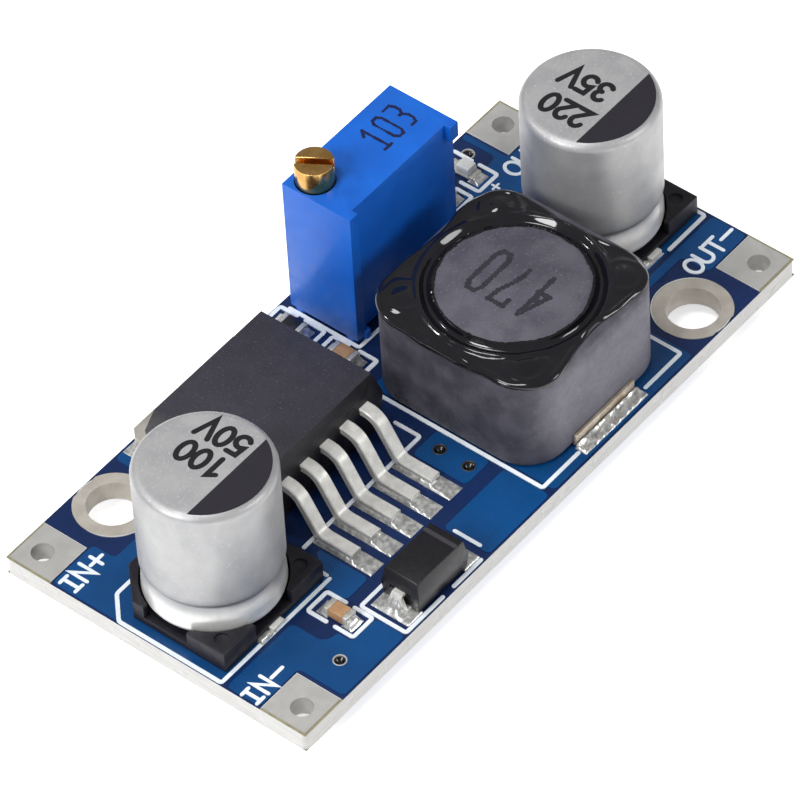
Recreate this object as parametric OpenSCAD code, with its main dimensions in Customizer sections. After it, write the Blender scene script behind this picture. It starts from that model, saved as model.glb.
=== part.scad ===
// Adjustable step-down converter module: a small circuit board with a five-lead
// regulator, a shielded inductor, two can capacitors, a power diode, a 25-turn
// trimmer, a lamp and chip parts.
//
// Frame: the origin is the middle of the board's underside. +X runs from the
// input end to the output end, +Y from the minus side to the plus side, +Z up.

/* [Board] */
// Length of the board, from the input end to the output end
board_l = 43.2; // [42.8:0.2:46]
// Width of the board
board_w = 21.0; // [20.8:0.2:23]
// Thickness of the board
board_t = 1.2; // [0.8:0.1:1.6]
// Radius of the board's corners
board_corner_r = 0.3; // [0.1:0.1:1]
// Thickness of the tinned copper on the board and in its holes
plating_t = 0.05; // [0.03:0.01:0.1]
// How far copper stays back from the board's edge
copper_setback = 0.15; // [0.05:0.05:0.25]

/* [Screw holes and wire holes] */
// Finished diameter of the two screw holes
screw_hole_d = 3.1; // [2.6:0.1:3.4]
// Distance between the screw holes along the board
screw_span_x = 30.4; // [29.6:0.2:31]
// Distance between the screw holes across the board
screw_span_y = 16.5; // [16.1:0.1:16.7]
// Width of the tinned ring around a screw hole
screw_ring_w = 0.75; // [0.4:0.05:0.9]
// Side of the square wire pad at each corner
wire_pad_side = 2.95; // [2.6:0.05:3.1]
// Finished diameter of the wire hole in a pad
wire_hole_d = 1.3; // [0.8:0.1:1.6]
// Distance of a wire hole from the end of the board
wire_hole_end = 1.45; // [1.3:0.05:1.6]
// Distance of a wire hole from the side of the board
wire_hole_side = 1.4; // [1.3:0.05:1.6]
// Diameter of the drilled hole of a via
via_d = 0.66; // [0.4:0.02:0.8]
// Width of the tinned ring around a via
via_ring_w = 0.1; // [0.05:0.05:0.2]
// Place of the input-end via along the board, from the input capacitor's middle
via_in_x = 0.2; // [0:0.05:0.4]
// Distance of the input-end via from the minus side of the board
via_in_side = 1.87; // [1.6:0.01:2.1]
// Gap between the regulator's side and the middle of the two middle vias, along the board
via_mid_gap = 0.42; // [0.3:0.01:0.7]
// Distance of the lower middle via from the minus side of the board
via_mid_side = 4.97; // [4.8:0.01:5.4]
// Distance between the two middle vias
via_mid_pitch = 2.03; // [1.6:0.01:2.4]
// Distance of the output-end via from the end of the board
via_out_end = 4.45; // [4.4:0.01:4.7]
// Distance of the output-end via from the plus side of the board
via_out_side = 1.22; // [1:0.01:1.5]

/* [Can capacitors] */
// Side of the square black base under each can
cap_base_side = 8.3; // [8.1:0.1:8.6]
// Thickness of the base plate
cap_plate_h = 0.5; // [0.4:0.1:0.8]
// Height of the base's corner posts
cap_post_h = 1.4; // [1.2:0.1:1.9]
// Length of the base's two cut corners, along each side
cap_corner_cut = 1.9; // [1:0.1:2.4]
// Width of the low stretch between two posts
cap_gap_w = 3.0; // [2:0.1:4]
// Diameter of the aluminium can
cap_can_d = 8.0; // [7.6:0.1:8]
// Height of the can's top above the board
cap_top_h = 10.3; // [8:0.1:12.5]
// Radius of the can's top edge
cap_edge_r = 0.55; // [0.2:0.05:0.8]
// Height of the can's lower end above the board
cap_can_foot_h = 0.9; // [0.8:0.05:1.3]
// Height of the middle of the crimp groove above the board
cap_groove_h = 2.75; // [2.5:0.05:3.2]
// Depth of the crimp groove
cap_groove_depth = 0.28; // [0.1:0.02:0.4]
// Width of the crimp groove
cap_groove_w = 0.78; // [0.6:0.02:1]
// Diameter of the round seat under the can
cap_seat_d = 5.8; // [5:0.1:6.2]
// Diameter of the round mark in the two posts on the minus side
cap_mark_d = 0.84; // [0.6:0.02:0.9]
// Depth of that mark
cap_mark_depth = 0.15; // [0.05:0.05:0.3]
// Distance of the mark's middle from the base's sides
cap_mark_inset = 0.88; // [0.7:0.02:1]
// Clearance between a base post and the can
cap_post_clear = 0.1; // [0.05:0.05:0.2]
// Width of a capacitor lead
cap_lead_w = 0.95; // [0.6:0.05:1.2]
// Thickness of a capacitor lead
cap_lead_t = 0.3; // [0.2:0.05:0.35]
// How far a lead shows past the base
cap_lead_out = 0.3; // [0.2:0.05:0.4]
// Width of a capacitor's pad
cap_pad_w = 2.1; // [1.8:0.05:2.4]
// How far a pad is set off from its lead, to the input side
cap_pad_shift = 0.47; // [0.3:0.01:0.6]
// Distance of the input capacitor's base from the end of the board
in_cap_edge = 0.85; // [0.7:0.05:1]
// Place of the input capacitor across the board
in_cap_y = -0.16; // [-0.3:0.02:0]
// Distance of the output capacitor's base from the end of the board
out_cap_edge = 0.39; // [0.3:0.01:0.6]
// Place of the output capacitor across the board
out_cap_y = 0.14; // [0:0.02:0.3]
// Gap between the inductor's shield and the output capacitor's base
out_cap_gap = 1.08; // [0.9:0.02:1.3]

/* [Regulator] */
// Width of the regulator's moulded body
reg_w = 10.0; // [9.6:0.1:10.2]
// Depth of the body, from the lead side to the tab side
reg_d = 8.6; // [8.2:0.1:8.8]
// Height of the body's top above the board
reg_h = 4.4; // [4:0.1:4.8]
// How far the body's upper sides lean in
reg_draft = 0.42; // [0.1:0.02:0.5]
// Gap between the input capacitor's base and the body
reg_gap = 0.6; // [0.4:0.05:0.7]
// Thickness of the metal tab
tab_t = 1.27; // [1.1:0.01:1.4]
// How far the tab stands out behind the body
tab_out = 1.6; // [1.2:0.1:1.7]
// How much narrower the tab is than the body, on each side
tab_inset = 0.22; // [0.1:0.02:0.6]
// Length of the tab's cut corners
tab_corner_cut = 0.55; // [0.2:0.05:0.8]
// Distance of the tab's hidden end from the body's lead side
tab_front = 2.0; // [1.6:0.1:3]
// Distance of the tab's end from the side of the board
tab_edge = 0.3; // [0.2:0.05:0.5]
// Number of leads
reg_lead_count = 5; // [3:1:5]
// Distance between two leads
reg_lead_pitch = 1.7; // [1.5:0.02:1.76]
// Width of a lead
reg_lead_w = 0.8; // [0.6:0.05:0.9]
// Thickness of a lead
reg_lead_t = 0.5; // [0.38:0.02:0.56]
// Height of a lead's upper face where it leaves the body
reg_lead_exit_h = 3.1; // [2.9:0.05:3.2]
// Length of a lead before it bends down
reg_lead_shoulder = 0.87; // [0.6:0.01:1.1]
// Distance that the sloped stretch of a lead runs outwards
reg_lead_run = 1.53; // [1.2:0.01:1.7]
// Distance of a lead's tip from the body
reg_lead_reach = 4.8; // [4.4:0.1:5]
// How deep a lead goes into the body
reg_lead_root = 1.0; // [0.5:0.1:1.2]
// How far a lead's pad shows past the lead's tip
reg_pad_toe = 1.45; // [0.8:0.05:1.5]
// How far a lead's pad shows behind the lead's heel
reg_pad_heel = 0.2; // [0.1:0.05:0.4]
// Width of a lead's pad
reg_pad_w = 1.15; // [1:0.05:1.25]
// Height of the solder on a lead's pad
reg_solder_h = 0.15; // [0.1:0.01:0.25]

/* [Inductor] */
// Side of the inductor's square shield
ind_side = 12.0; // [11.4:0.1:12.2]
// Radius of the shield's corners
ind_corner_r = 2.5; // [1.5:0.1:3]
// Height of the shield's top above the board
ind_h = 6.6; // [5.6:0.1:7.6]
// Height of the gap under the shield
ind_foot_gap = 0.12; // [0.1:0.02:0.2]
// Diameter of the round hole through the shield
ind_bore_d = 10.3; // [10:0.1:10.6]
// Diameter of the drum core's upper flange
ind_drum_d = 8.9; // [8.6:0.1:9.2]
// How far the drum's top stands above the shield's top
ind_drum_proud = 0.2; // [0.16:0.02:0.4]
// Thickness of the drum's upper and lower flanges
ind_flange_t = 1.3; // [1:0.1:1.6]
// Diameter of the drum's post
ind_post_d = 4.6; // [4:0.1:5]
// Radial thickness of the winding
ind_winding_t = 1.9; // [1.5:0.1:2]
// Depth of the adhesive in the ring between the drum and the shield
ind_glue_depth = 0.9; // [0.6:0.1:1]
// Thickness of the adhesive that spread over the shield's top
ind_glue_film = 0.14; // [0.08:0.02:0.14]
// Diameter of the round adhesive film on the shield's top
ind_glue_d = 11.5; // [11:0.1:11.7]
// Diameter of the adhesive pool at each corner of the shield's top
ind_pool_d = 2.9; // [2:0.1:3]
// Distance of a pool's middle from the shield's sides
ind_pool_inset = 1.95; // [1.9:0.05:2.2]
// Gap between the regulator's body and the shield
ind_gap = 1.68; // [1.6:0.02:1.9]
// Distance of the shield from the side of the board
ind_edge = 1.35; // [1.25:0.05:1.5]
// Width of an inductor terminal
ind_term_w = 5.2; // [4:0.1:5.6]
// Thickness of an inductor terminal
ind_term_t = 0.22; // [0.12:0.02:0.25]
// How far a terminal's foot reaches in under the shield
ind_term_in = 1.8; // [1.4:0.1:2]
// Height of a terminal's upright face above the board
ind_term_h = 0.8; // [0.7:0.1:2]
// How far a terminal's solder stands out from the shield
ind_solder_out = 1.05; // [0.6:0.05:1.15]
// How much wider a terminal's pad is than the terminal, on each side
ind_pad_margin = 0.2; // [0.05:0.05:0.3]
// Height of the solder fillet on a terminal
ind_fillet_h = 0.4; // [0.3:0.05:1]
// How far the solder fillet stands out from a terminal
ind_fillet_out = 0.47; // [0.3:0.01:0.6]

/* [Diode] */
// Length of the diode's moulded body
diode_l = 4.3; // [4.1:0.05:4.4]
// Width of the diode's moulded body
diode_w = 2.65; // [2.4:0.05:2.7]
// Height of the diode's top above the board
diode_h = 2.25; // [2:0.05:2.4]
// How far the diode's upper sides lean in
diode_draft = 0.2; // [0.05:0.05:0.25]
// Place of the diode along the board, from the regulator's middle
diode_x = -2.45; // [-2.55:0.02:-2.25]
// Distance of the diode's body from the side of the board
diode_edge = 0.38; // [0.36:0.02:0.44]
// Gap between the regulator's pads and the diode's body
diode_gap = 1.22; // [0.9:0.02:1.5]
// Width of a diode lead
diode_lead_w = 1.4; // [1.2:0.05:1.6]
// Thickness of a diode lead
diode_lead_t = 0.2; // [0.12:0.02:0.25]
// How far a diode lead stands out from the body
diode_lead_out = 0.35; // [0.3:0.05:0.45]
// Height of a diode lead's upper face where it leaves the body
diode_lead_h = 1.2; // [1:0.05:1.4]
// How deep a diode lead goes into the body
diode_lead_root = 0.7; // [0.4:0.05:0.9]
// Length of a diode lead's foot
diode_foot_l = 1.55; // [1.2:0.05:1.7]
// Length and width of a diode pad
diode_pad = [1.4, 2.6]; // [1.2:0.05:2.8]
// How far a diode pad shows past its lead
diode_pad_out = 0.6; // [0.4:0.05:0.8]
// How far the solder fillet stands out from a diode lead
diode_fillet_out = 0.45; // [0.2:0.05:0.5]

/* [Trimmer] */
// Length of the trimmer's case
pot_l = 9.45; // [9:0.05:9.6]
// Width of the trimmer's case
pot_w = 4.8; // [4.6:0.05:4.95]
// Height of the case's top above the board
pot_h = 9.95; // [9.6:0.05:10.4]
// Height of the case's stand-off feet
pot_standoff = 0.3; // [0.2:0.05:0.4]
// Thickness of the case's walls
pot_wall = 0.45; // [0.4:0.01:0.46]
// Thickness of the case's top
pot_roof = 1.2; // [1.1:0.05:1.3]
// Depth of the shallow recess in the case's minus side
pot_recess = 0.42; // [0.3:0.02:0.44]
// Width of the two ribs beside that recess
pot_rib = 0.68; // [0.5:0.02:0.9]
// Height of the lug that the output-end rib is cut down to, from the case's top
pot_lug_h = 1.1; // [0.8:0.1:2]
// Gap between the case's minus side and the inductor's shield
pot_gap = 2.15; // [2:0.05:2.25]
// Distance of the case's plus side from the side of the board
pot_edge = 0.7; // [0.6:0.05:0.9]
// Place of the case's input-end face along the board, from that side of the shield
pot_x = 2.12; // [2.02:0.05:2.27]
// Thickness of the potting that closes the case's underside
pot_potting_t = 0.7; // [0.5:0.05:0.8]
// Diameter of the adjusting screw's head
screw_head_d = 2.26; // [2:0.02:2.3]
// How far the head stands above the case
screw_head_h = 1.5; // [1.2:0.05:1.7]
// Width of the screwdriver slot
screw_slot_w = 0.42; // [0.3:0.02:0.6]
// Depth of the screwdriver slot
screw_slot_depth = 0.65; // [0.4:0.05:0.8]
// Turn of the slot from the X axis, in degrees
screw_slot_turn = -57; // [-90:1:90]
// Diameter of the screw's neck, where it passes through the case
screw_neck_d = 1.4; // [1.3:0.02:1.44]
// Diameter of the screw's threaded stretch
screw_thread_d = 1.1; // [1:0.02:1.2]
// Distance of the screw from the case's input-end face
screw_end = 1.3; // [1.27:0.01:1.34]
// Distance of the screw from the case's plus-side face
screw_side = 1.3; // [1.27:0.01:1.34]
// Thickness of the screw's collar under the case's top
screw_collar_t = 0.3; // [0.2:0.05:0.35]
// How far the collar stands out from the neck
screw_collar_out = 0.12; // [0.1:0.01:0.14]
// Depth of the recess that the head sits in
screw_recess_depth = 0.3; // [0.2:0.05:0.4]
// Thickness of the rubber ring that seals the neck
seal_d = 0.24; // [0.2:0.01:0.25]
// Clearance between turning or sliding parts
run_clear = 0.05; // [0.03:0.01:0.06]
// Height of the sliding carriage
carriage_h = 1.5; // [1.2:0.1:1.6]
// Length of the sliding carriage
carriage_l = 3.6; // [3.2:0.1:4]
// Thickness of the resistance plate
element_t = 0.6; // [0.5:0.05:0.7]
// Thickness of the wiper spring
wiper_t = 0.15; // [0.1:0.01:0.2]
// Width of the wiper spring
wiper_w = 0.75; // [0.5:0.05:1]
// Distance of the wiper's fixed end from the wall of the hollow
wiper_start = 0.9; // [0.6:0.1:1.2]
// Length of the wiper's flat stretch on the carriage
wiper_flat_l = 1.8; // [1.4:0.1:2.2]
// Length of the whole wiper
wiper_l = 4.3; // [3.8:0.1:4.6]
// Gap between the resistance plate and the carriage, where the wiper is
wiper_room = 0.6; // [0.5:0.02:0.7]
// Distance between two trimmer pins
pot_pin_pitch = 2.54; // [2.3:0.02:2.6]
// Diameter of a trimmer pin
pot_pin_d = 0.5; // [0.4:0.02:0.6]
// How far a pin shows under the board
pot_pin_out = 0.8; // [0.6:0.05:1]
// How far a pin stands up through the potting
pot_pin_in = 0.3; // [0.2:0.05:0.35]
// Gap between a pin and its hole in the board, filled with solder
pot_hole_gap = 0.1; // [0.08:0.01:0.2]
// Height of the cone of solder on a pin
pot_cone_h = 0.6; // [0.3:0.05:0.6]
// Diameter of the cone's foot
pot_cone_d = 1.6; // [1.2:0.1:2]

/* [Chip parts] */
// Length of a chip part
chip_l = 1.6; // [1.5:0.02:1.7]
// Width of a chip part
chip_w = 0.85; // [0.7:0.05:0.9]
// Height of a chip capacitor
chip_cap_h = 0.65; // [0.55:0.05:0.9]
// Height of a chip resistor
chip_res_h = 0.5; // [0.4:0.05:0.6]
// Length of a chip's metal end
chip_end = 0.32; // [0.2:0.02:0.4]
// How far a chip's pads reach past its ends
chip_pad_out = 0.45; // [0.3:0.05:0.5]
// Width of a chip's pads
chip_pad_w = 1.05; // [0.95:0.05:1.1]
// Height of the lamp's carrier plate
led_base_h = 0.25; // [0.2:0.05:0.3]
// Height of the lamp's top above the board
led_h = 0.75; // [0.6:0.05:0.8]
// How far the lamp's clear top leans in
led_lean = 0.05; // [0.02:0.01:0.1]
// How far the solder fillet stands out from a chip's end
chip_fillet_out = 0.3; // [0.1:0.05:0.3]
// Gap between the pads of the feedback resistor and the side of the board
chip_edge = 0.5; // [0.4:0.05:0.7]
// Gap between the pads of the two chips beside the trimmer
chip_gap = 1.25; // [1:0.05:1.5]
// Gap between the pads of the lower chip and the inductor's shield
chip_ind_gap = 0.9; // [0.7:0.05:1.1]
// Gap between those chips' pads and the trimmer
chip_pot_gap = 0.685; // [0.5:0.005:0.8]
// Place of the input ceramic along the board, from the input capacitor's middle
input_ceramic_x = 2.6; // [2.4:0.05:2.8]
// Gap between the input capacitor's base and the pads of the input ceramic
input_ceramic_gap = 1.12; // [1:0.02:1.4]
// Distance of the lamp from the end of the board
lamp_end = 5.65; // [5.5:0.05:5.8]
// Distance of the lamp from the side of the board
lamp_side = 2.05; // [1.9:0.05:2.4]
// Distance between the lamp and its resistor
lamp_pitch = 2.2; // [1.8:0.05:2.3]

/* [Hidden] */

// Facets of round parts
round_fn = 64;
// Facets of small round parts
small_fn = 32;
// Overlap of a cutting shape past the face that it cuts
eps = 0.01;
// Thickness of the solder between a pad and what stands on it
seat = 0.05;

// Height of a chip's solder fillet, as a share of the chip's height
fillet_share = 2 / 3;
// Steps in a rounded edge of a turned outline
edge_steps = 6;

// Room along the board: the gaps between the parts open and close together with its length
parts_l = 2 * cap_base_side + reg_w + ind_side;
gaps_l = in_cap_edge + reg_gap + ind_gap + out_cap_gap + out_cap_edge;
open_l = (board_l - parts_l) / gaps_l;

// Room across the board, in the row of the regulator and the diode
reg_row_w = tab_out + reg_d + reg_lead_reach + diode_w;
reg_row_gaps = tab_edge + reg_pad_toe + diode_gap + diode_edge;
reg_open = (board_w - reg_row_w) / reg_row_gaps;

// Room across the board, in the row of the inductor and the trimmer
ind_open = (board_w - ind_side - pot_w) / (ind_edge + pot_gap + pot_edge);

// Places of the parts, each worked out from its neighbour or from the board
in_cap_x = -board_l / 2 + in_cap_edge * open_l + cap_base_side / 2;
out_cap_x = board_l / 2 - out_cap_edge * open_l - cap_base_side / 2;
reg_x = in_cap_x + cap_base_side / 2 + reg_gap * open_l + reg_w / 2;
reg_front_y = board_w / 2 - tab_edge * reg_open - tab_out - reg_d;
ind_x = reg_x + reg_w / 2 + ind_gap * open_l + ind_side / 2;
ind_y = -board_w / 2 + ind_edge * ind_open + ind_side / 2;
case_x = ind_x - ind_side / 2 + pot_x;
case_y = ind_y + ind_side / 2 + pot_gap * ind_open;
diode_at = [reg_x + diode_x, -board_w / 2 + diode_edge * reg_open + diode_w / 2];

// Screw of the trimmer, and the hollow that its carriage slides in
screw_x = case_x + screw_end;
screw_y = case_y + pot_w - screw_side;
pot_floor = pot_standoff + pot_potting_t;
pot_ceiling = pot_h - pot_roof;
hollow_x0 = case_x + pot_wall;
hollow_x1 = case_x + pot_l - pot_wall;
hollow_y0 = case_y + pot_recess + pot_wall;
hollow_y1 = case_y + pot_w - pot_wall;
screw_collar_r = screw_neck_d / 2 + screw_collar_out;
collar_low = pot_ceiling - run_clear - screw_collar_t;
carriage_mid = (pot_floor + collar_low) / 2;
carriage_front = hollow_y0 + element_t + wiper_room;
pot_pin_y = hollow_y0 + element_t + pot_pin_d / 2 + run_clear;

// Room of the two chips between the inductor's shield and the side of the board
chip_reach = chip_l / 2 + chip_pad_out;
chip_room = board_w / 2 - ind_y - ind_side / 2;
chip_open = (chip_room - 4 * chip_reach) / (chip_edge + chip_gap + chip_ind_gap);

// Places of the chip parts, all along Y: [x, y]
input_ceramic_at = [
    in_cap_x + input_ceramic_x,
    in_cap_y - cap_base_side / 2 - input_ceramic_gap - chip_reach
];
feedback_at = [
    case_x - chip_pot_gap - chip_pad_w / 2,
    board_w / 2 - chip_edge * chip_open - chip_reach
];
compensation_at = [feedback_at[0], feedback_at[1] - chip_gap * chip_open - 2 * chip_reach];
lamp_at = [board_l / 2 - lamp_end, board_w / 2 - lamp_side];
lamp_resistor_at = [lamp_at[0] - lamp_pitch, lamp_at[1]];

// Places of the vias
via_mid_x = reg_x + reg_w / 2 + via_mid_gap;
via_mid_y = -board_w / 2 + via_mid_side;
vias = [
    [in_cap_x + via_in_x, -board_w / 2 + via_in_side],
    [via_mid_x, via_mid_y + via_mid_pitch],
    [via_mid_x, via_mid_y],
    [board_l / 2 - via_out_end, board_w / 2 - via_out_side]
];

// ---- shared helpers ----

// Lifts what stands on the board's upper face
module on_board() {
    translate([0, 0, board_t]) children();
}

// Box from its low corner to its high corner
module box_between(low, high) {
    translate(low) cube(high - low);
}

// Rectangle with round corners, centred
module round_rect(l, w, r) {
    square([l - 2 * r, w], center = true);
    square([l, w - 2 * r], center = true);
    for (sx = [-1, 1], sy = [-1, 1])
        translate([sx * (l / 2 - r), sy * (w / 2 - r)]) circle(r, $fn = small_fn);
}

// Block whose four sides lean in towards its top
module drafted_block(l, w, h, lean) {
    linear_extrude(height = h, scale = [1 - 2 * lean / l, 1 - 2 * lean / w])
        square([l, w], center = true);
}

// Repeats its children at the two screw holes
module at_screw_holes() {
    for (s = [-1, 1]) translate([s * screw_span_x / 2, -s * screw_span_y / 2]) children();
}

// Repeats its children at the four wire holes, mirrored so that +X and +Y face the corner
module at_wire_holes() {
    for (sx = [-1, 1], sy = [-1, 1])
        scale([sx, sy, 1])
            translate([board_l / 2 - wire_hole_end, board_w / 2 - wire_hole_side])
                children();
}

// Repeats its children at the trimmer's three pins
module at_pot_pins() {
    for (k = [-1, 0, 1])
        translate([case_x + pot_l / 2 + k * pot_pin_pitch, pot_pin_y]) children();
}

// ---- board ----

// Drills through the board
module drill(d, fn) {
    translate([0, 0, -eps]) cylinder(d = d, h = board_t + 2 * eps, $fn = fn);
}

module circuit_board() {
    color("#16508a") difference() {
        linear_extrude(board_t) round_rect(board_l, board_w, board_corner_r);
        at_screw_holes() drill(screw_hole_d + 2 * plating_t, round_fn);
        at_wire_holes() drill(wire_hole_d + 2 * plating_t, small_fn);
        for (at = vias) translate(at) drill(via_d, round_fn);
        at_pot_pins() drill(pot_pin_d + 2 * pot_hole_gap, small_fn);
    }
}

// Square of a wire pad around its hole, larger by a margin on all sides
module wire_pad_square(margin, h) {
    inner = copper_setback + wire_pad_side + margin;
    translate([wire_hole_end - inner, wire_hole_side - inner, 0])
        cube([wire_pad_side + 2 * margin, wire_pad_side + 2 * margin, h]);
}

module wire_pads() {
    color("#b0b0ae") at_wire_holes() difference() {
        union() {
            for (z = [-plating_t, board_t]) translate([0, 0, z]) wire_pad_square(0, plating_t);
            cylinder(d = wire_hole_d + 2 * plating_t, h = board_t, $fn = small_fn);
        }
        translate([0, 0, -2 * plating_t])
            cylinder(d = wire_hole_d, h = board_t + 4 * plating_t, $fn = small_fn);
    }
}

// Ring of tin on both faces, joined by the tinned wall of the hole
module hole_ring(hole_d, ring_w) {
    inner = hole_d / 2;
    wall = inner + plating_t;
    outer = inner + ring_w;
    rotate_extrude($fn = round_fn) polygon([
        [inner, -plating_t], [outer, -plating_t], [outer, 0], [wall, 0],
        [wall, board_t], [outer, board_t], [outer, board_t + plating_t], [inner, board_t + plating_t]
    ]);
}

// The rings stay back from the board's sides and from the wire pads
module screw_hole_rings() {
    low = -2 * plating_t;
    high = board_t + 2 * plating_t;
    color("#b9b4a8") difference() {
        intersection() {
            at_screw_holes() hole_ring(screw_hole_d, screw_ring_w);
            box_between([-board_l / 2, -board_w / 2 + copper_setback, low],
                        [board_l / 2, board_w / 2 - copper_setback, high]);
        }
        at_wire_holes() translate([0, 0, low]) wire_pad_square(copper_setback, high - low);
    }
}

module via_rings() {
    color("#9aa7a8") for (at = vias)
        translate(at) hole_ring(via_d - 2 * plating_t, via_ring_w + plating_t);
}

// ---- regulator ----

// Side outline of a lead, from inside the body to its tip: first axis outwards, second upwards
function reg_lead_outline() =
    let (
        foot_top = seat + reg_lead_t,
        bend = reg_lead_shoulder,
        heel = reg_lead_shoulder + reg_lead_run,
        slope = atan((reg_lead_exit_h - foot_top) / reg_lead_run),
        shift = reg_lead_t * tan(slope / 2)
    ) [
        [-reg_lead_root, reg_lead_exit_h], [bend, reg_lead_exit_h], [heel, foot_top],
        [reg_lead_reach, foot_top], [reg_lead_reach, seat], [heel - shift, seat],
        [bend - shift, reg_lead_exit_h - reg_lead_t], [-reg_lead_root, reg_lead_exit_h - reg_lead_t]
    ];

// The row of leads, each made as wide as asked
module reg_lead_row(w) {
    for (k = [0 : reg_lead_count - 1])
        translate([reg_x + (k - (reg_lead_count - 1) / 2) * reg_lead_pitch, reg_front_y, 0])
            mirror([0, 1, 0]) rotate([90, 0, 90])
                translate([0, 0, -w / 2]) linear_extrude(w) polygon(reg_lead_outline());
}

// The tab's plate, from under the body to its free end
module reg_tab_plate() {
    half = reg_w / 2 - tab_inset;
    back = reg_front_y + reg_d + tab_out;
    front = reg_front_y + tab_front;
    translate([reg_x, 0, seat]) linear_extrude(tab_t) polygon([
        [-half, front], [half, front], [half, back - tab_corner_cut], [half - tab_corner_cut, back],
        [-half + tab_corner_cut, back], [-half, back - tab_corner_cut]
    ]);
}

module regulator_body() {
    parting = reg_lead_exit_h - reg_lead_t / 2;
    color("#2c2a33") on_board() difference() {
        translate([reg_x, reg_front_y + reg_d / 2, 0]) union() {
            translate([0, 0, parting]) drafted_block(reg_w, reg_d, reg_h - parting, reg_draft);
            translate([0, 0, parting]) mirror([0, 0, 1])
                drafted_block(reg_w, reg_d, parting - seat, reg_draft / 2);
        }
        reg_lead_row(reg_lead_w);
        reg_tab_plate();
    }
}

module regulator_tab() {
    color("#b8b2a8") on_board() reg_tab_plate();
}

module regulator_leads() {
    color("#d5d5d2") on_board() reg_lead_row(reg_lead_w);
}

module regulator_solder() {
    heel = reg_lead_shoulder + reg_lead_run;
    pad_len = reg_lead_reach + reg_pad_toe * reg_open - heel + reg_pad_heel;
    tab_pad = board_w / 2 - copper_setback - reg_front_y - reg_d / 2;
    color("#b4b4b2") on_board() difference() {
        union() {
            for (k = [0 : reg_lead_count - 1])
                translate([reg_x + (k - (reg_lead_count - 1) / 2) * reg_lead_pitch,
                           reg_front_y - heel + reg_pad_heel - pad_len / 2, 0])
                    drafted_block(reg_pad_w, pad_len, reg_solder_h, (reg_pad_w - reg_lead_w) / 2 - seat);
            translate([reg_x - reg_w / 2 - copper_setback, reg_front_y + reg_d / 2, 0])
                cube([reg_w + 2 * copper_setback, tab_pad, seat]);
        }
        reg_lead_row(reg_lead_w);
    }
}

// ---- inductor ----

// Terminal: an upright strip on the shield's side and a foot that turns in under it
module ind_terminal() {
    translate([-ind_term_w / 2, 0, 0]) {
        translate([0, -ind_term_t, seat]) cube([ind_term_w, ind_term_t, ind_term_h - seat]);
        translate([0, 0, seat]) cube([ind_term_w, ind_term_in, ind_foot_gap - seat]);
    }
}

// Repeats its children at the two sides with terminals, with +Y pointing inwards
module at_ind_sides() {
    translate([ind_x, ind_y, 0]) for (s = [1, -1])
        scale([1, s, 1]) translate([0, -ind_side / 2, 0]) children();
}

module inductor_shield() {
    color("#55535c") on_board() difference() {
        translate([ind_x, ind_y, ind_foot_gap])
            linear_extrude(ind_h - ind_foot_gap) round_rect(ind_side, ind_side, ind_corner_r);
        translate([ind_x, ind_y, 0]) cylinder(d = ind_bore_d, h = ind_h + eps, $fn = round_fn);
    }
}

module inductor_drum() {
    top = ind_h + ind_drum_proud;
    flange = ind_drum_d / 2;
    post = ind_post_d / 2;
    color("#6a6870") on_board() translate([ind_x, ind_y, 0]) rotate_extrude($fn = round_fn) polygon([
        [0, ind_foot_gap], [flange, ind_foot_gap], [flange, ind_foot_gap + ind_flange_t],
        [post, ind_foot_gap + ind_flange_t], [post, top - ind_flange_t],
        [flange, top - ind_flange_t], [flange, top], [0, top]
    ]);
}

module inductor_winding() {
    post = ind_post_d / 2;
    low = ind_foot_gap + ind_flange_t;
    high = ind_h + ind_drum_proud - ind_flange_t;
    color("#a8552a") on_board() translate([ind_x, ind_y, 0]) rotate_extrude($fn = round_fn)
        translate([post, low]) square([ind_winding_t, high - low]);
}

module inductor_adhesive() {
    bore = ind_bore_d / 2;
    drum = ind_drum_d / 2;
    pool = ind_side / 2 - ind_pool_inset;
    color("#15141a") on_board() translate([ind_x, ind_y, 0]) difference() {
        union() {
            translate([0, 0, ind_h - ind_glue_depth]) cylinder(r = bore, h = ind_glue_depth, $fn = round_fn);
            translate([0, 0, ind_h]) cylinder(d = ind_glue_d, h = ind_glue_film, $fn = round_fn);
            for (sx = [-1, 1], sy = [-1, 1])
                translate([sx * pool, sy * pool, ind_h])
                    cylinder(d = ind_pool_d, h = ind_glue_film, $fn = small_fn);
        }
        translate([0, 0, ind_h - ind_glue_depth - eps])
            cylinder(r = drum, h = ind_glue_depth + ind_drum_proud + 2 * eps, $fn = round_fn);
    }
}

module inductor_terminals() {
    color("#c9c7bf") on_board() at_ind_sides() ind_terminal();
}

module inductor_solder() {
    color("#b4b4b2") on_board() at_ind_sides() {
        translate([-ind_term_w / 2 - ind_pad_margin, -ind_solder_out, 0])
            cube([ind_term_w + 2 * ind_pad_margin, ind_solder_out + ind_term_in, seat]);
        translate([0, -ind_term_t, seat]) rotate([90, 0, 90])
            translate([0, 0, -ind_term_w / 2]) linear_extrude(ind_term_w)
                polygon([[0, 0], [0, ind_fillet_h], [-ind_fillet_out, 0]]);
    }
}

// ---- can capacitors ----

// Outline of the base plate, with its two cut corners on the plus side
module cap_plate_outline() {
    half = cap_base_side / 2;
    polygon([
        [-half, -half], [half, -half], [half, half - cap_corner_cut], [half - cap_corner_cut, half],
        [-half + cap_corner_cut, half], [-half, half - cap_corner_cut]
    ]);
}

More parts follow.
